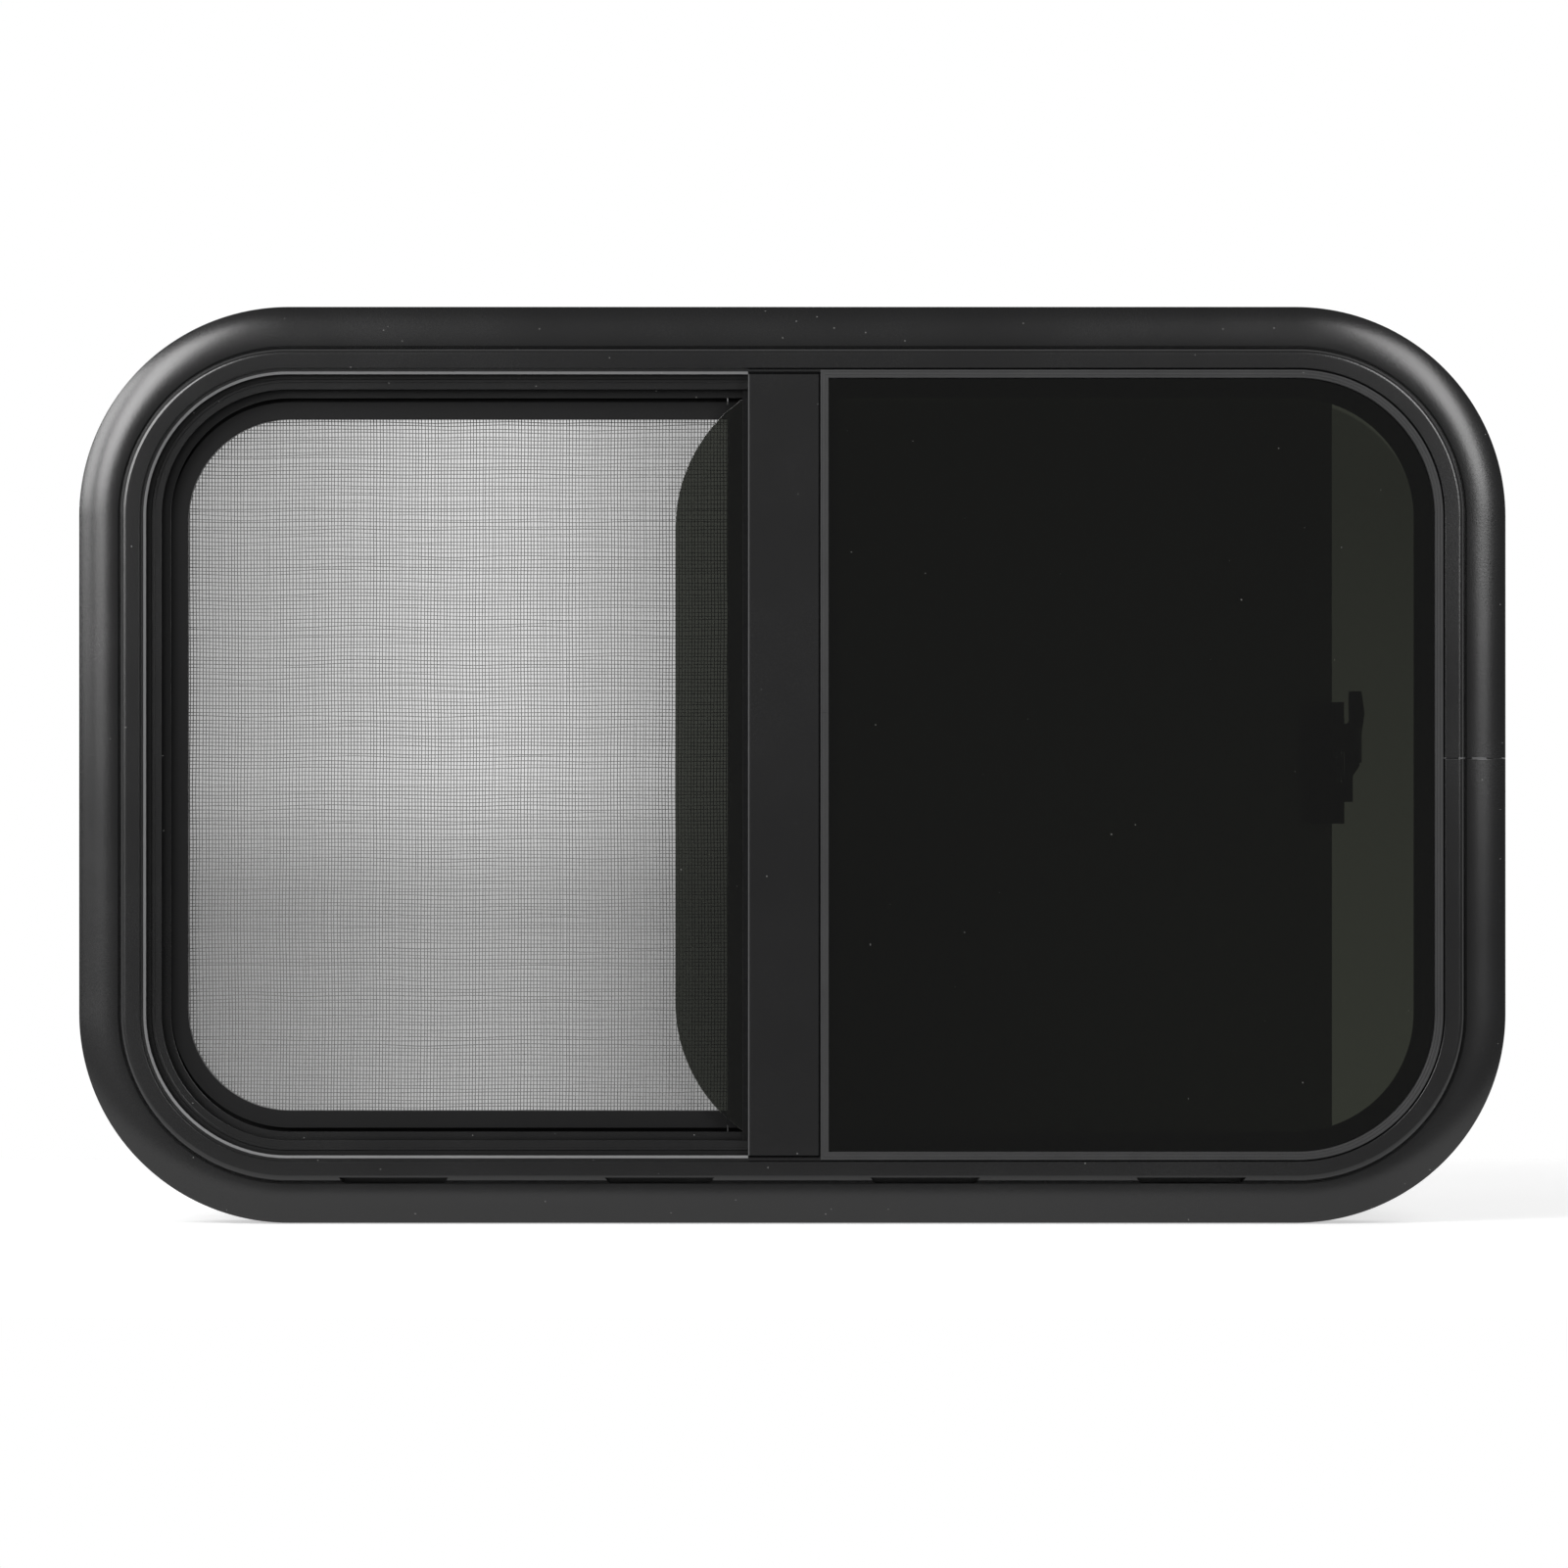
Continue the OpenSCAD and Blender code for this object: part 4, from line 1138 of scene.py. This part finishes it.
# The photo's framing: the outline's width gives the camera's distance
metresPerPixel = (frameHigh.x - frameLow.x) / (studio["outlineRight"] - studio["outlineLeft"])
viewWidth = metresPerPixel * studio["pixels"]
cameraDistance = viewWidth * studio["lens"] / studio["sensor"]


def rayKinds(tree):
    # Factors for rays from the camera, through glass and off glossy faces
    kinds = ("Is Camera Ray", "Is Transmission Ray", "Is Glossy Ray")
    return [tree.node("LightPath", output=kind) for kind in kinds]


def addStage(name, bm, material):
    piece = addObject(name, bm)
    piece.data.materials.append(material)
    return piece


def paleFloor(s):
    # Paper that glows a little for seen rays, and for mirrored rays only near the window
    material, tree = newMaterial("paleFloor")
    grain = noise(tree, placeOn(tree), 30, 3, 0.6)
    paper = blendColour(tree, grain, (0.78, 0.78, 0.78, 1), (0.82, 0.82, 0.82, 1))
    camera, clear, gloss = rayKinds(tree)
    depth = tree.node("SeparateXYZ", inputs={"Vector": placeOn(tree)}, output=1)
    near = softStep(tree, depth, *s["nearFloor"])
    # Painted reflection: mirrored rays see the paper darker away from the window
    mirrored = blendColour(tree, gloss * (1 - near) * s["floorDulling"], paper, (0, 0, 0, 1))
    paint = tree.node("BsdfDiffuse", inputs={"Color": mirrored})
    seen = tree.maths("MAXIMUM", camera, clear) * s["floorGlow"]
    glow = tree.node("Emission", inputs={
        "Color": (1, 1, 1, 1),
        "Strength": tree.maths("MAXIMUM", seen, gloss * near * s["floorGloss"]),
    })
    both = tree.node("AddShader", inputs={0: paint, 1: glow})
    tree.node("OutputMaterial", inputs={"Surface": both})
    return material


def paintedShadowCard(s):
    # Painted shadow: glowing greys behind mesh and panes stand in for the window's shadow on a
    # backdrop, with soft changes between them
    material, tree = newMaterial("paintedShadowCard")
    across = tree.node("SeparateXYZ", inputs={"Vector": placeOn(tree)})
    up = across.beside("Z")
    left = softStep(tree, across, *s["cardLeft"])
    right = softStep(tree, across, *s["cardRight"])
    low = softStep(tree, up, *s["cardLow"])
    start, end, lowTone, highTone = s["cardPane"]
    paneTone = tree.node("MapRange", inputs={
        "Value": up, "From Min": start, "From Max": end, "To Min": lowTone, "To Max": highTone,
    })
    share = softStep(tree, across, *s["cardChange"])
    tone = tree.node("Mix", {"data_type": "FLOAT"}, {0: share, 2: left * right * low, 3: paneTone})
    glow = tree.node("Emission", inputs={"Color": (1, 1, 1, 1), "Strength": tone})
    tree.node("OutputMaterial", inputs={"Surface": glow})
    return material


def buildFloor(s):
    # A pale table top that ends before the glass could mirror it
    bm = bmesh.new()
    bmesh.ops.create_grid(bm, x_segments=1, y_segments=1, size=0.5)
    bmesh.ops.scale(bm, vec=(s["floorWidth"], s["floorDepth"], 1), verts=bm.verts)
    bmesh.ops.translate(bm, vec=(0, 0, frameLow.z - s["floorDrop"]), verts=bm.verts)
    addStage("floor", bm, paleFloor(s))


def buildCard(s):
    # A card far behind that glows with a painted shadow, seen only through the window from the
    # camera's place
    apart = (cameraDistance + s["cardDistance"]) / cameraDistance
    inset = s["cardInset"]
    box = {
        "left": inset - halfWidth, "right": halfWidth - inset,
        "bottom": inset - halfHeight, "top": halfHeight - inset, "back": -1, "front": 1,
    }
    radius = outerFrame["cornerRadius"] - inset
    bm = roundedPlate(box, radius, radius, 0.5, bendSteps=16)
    bmesh.ops.transform(bm, matrix=toWall, verts=bm.verts)
    eye = Vector((0, 0, middleZ))
    bmesh.ops.translate(bm, vec=-eye, verts=bm.verts)
    bmesh.ops.scale(bm, vec=(apart, 1, apart), verts=bm.verts)
    bmesh.ops.translate(bm, vec=eye + Vector((0, s["cardDistance"], 0)), verts=bm.verts)
    card = addStage("paintedShadowCard", bm, paintedShadowCard(s))
    card.visible_diffuse = False
    card.visible_shadow = False


def addLamp(name, aim, bearing, rise, distance, size, radiance):
    # bearing and rise are degrees to the right of and above the line to the camera
    data = bpy.data.lights.new(name, "AREA")
    data.shape = "RECTANGLE"
    data.size, data.size_y = size
    data.energy = radiance * pi * size[0] * size[1]
    away = Vector((
        sin(radians(bearing)) * cos(radians(rise)),
        -cos(radians(bearing)) * cos(radians(rise)),
        sin(radians(rise)),
    ))
    lamp = bpy.data.objects.new(name, data)
    lamp.location = Vector(aim) + away * distance
    lamp.rotation_euler = (-away).to_track_quat("-Z", "Y").to_euler()
    scene.collection.objects.link(lamp)


def buildWorld(s):
    # White behind the window for every ray but the diffuse ones; a dim room before it
    world = bpy.data.worlds.new("studio")
    world.use_nodes = True
    world.node_tree.nodes.clear()
    tree = Shade(world.node_tree)
    camera, clear, gloss = rayKinds(tree)
    way = tree.node("TexCoord", output="Generated")
    depth = tree.node("SeparateXYZ", inputs={"Vector": way}, output=1)
    room = softStep(tree, depth, *s["roomTurn"], s["frontGloss"], 1)
    seen = tree.maths("MAXIMUM", tree.maths("MAXIMUM", camera, clear), gloss * room)
    strength = tree.maths("MAXIMUM", seen, s["ambient"])
    sky = tree.node("Background", inputs={"Color": (1, 1, 1, 1), "Strength": strength})
    tree.node("OutputWorld", inputs={"Surface": sky})
    scene.world = world


def buildCamera(s):
    data = bpy.data.cameras.new("camera")
    data.lens = s["lens"]
    data.sensor_width = s["sensor"]
    data.dof.use_dof = False
    middleX = (s["outlineLeft"] + s["outlineRight"]) / 2 - s["pixels"] / 2
    middleY = (s["outlineTop"] + s["outlineBottom"]) / 2 - s["pixels"] / 2
    camera = bpy.data.objects.new("camera", data)
    camera.location = (
        -middleX * metresPerPixel, -cameraDistance, middleZ + middleY * metresPerPixel
    )
    camera.rotation_euler = (pi / 2, 0, 0)
    scene.collection.objects.link(camera)
    scene.camera = camera


buildFloor(studio)
buildCard(studio)
buildWorld(studio)
for name, lamp in lamps.items():
    addLamp(name, *lamp)
buildCamera(studio)
print("floor, card, world, lamps and camera set")
scene.view_settings.view_transform = "Standard"
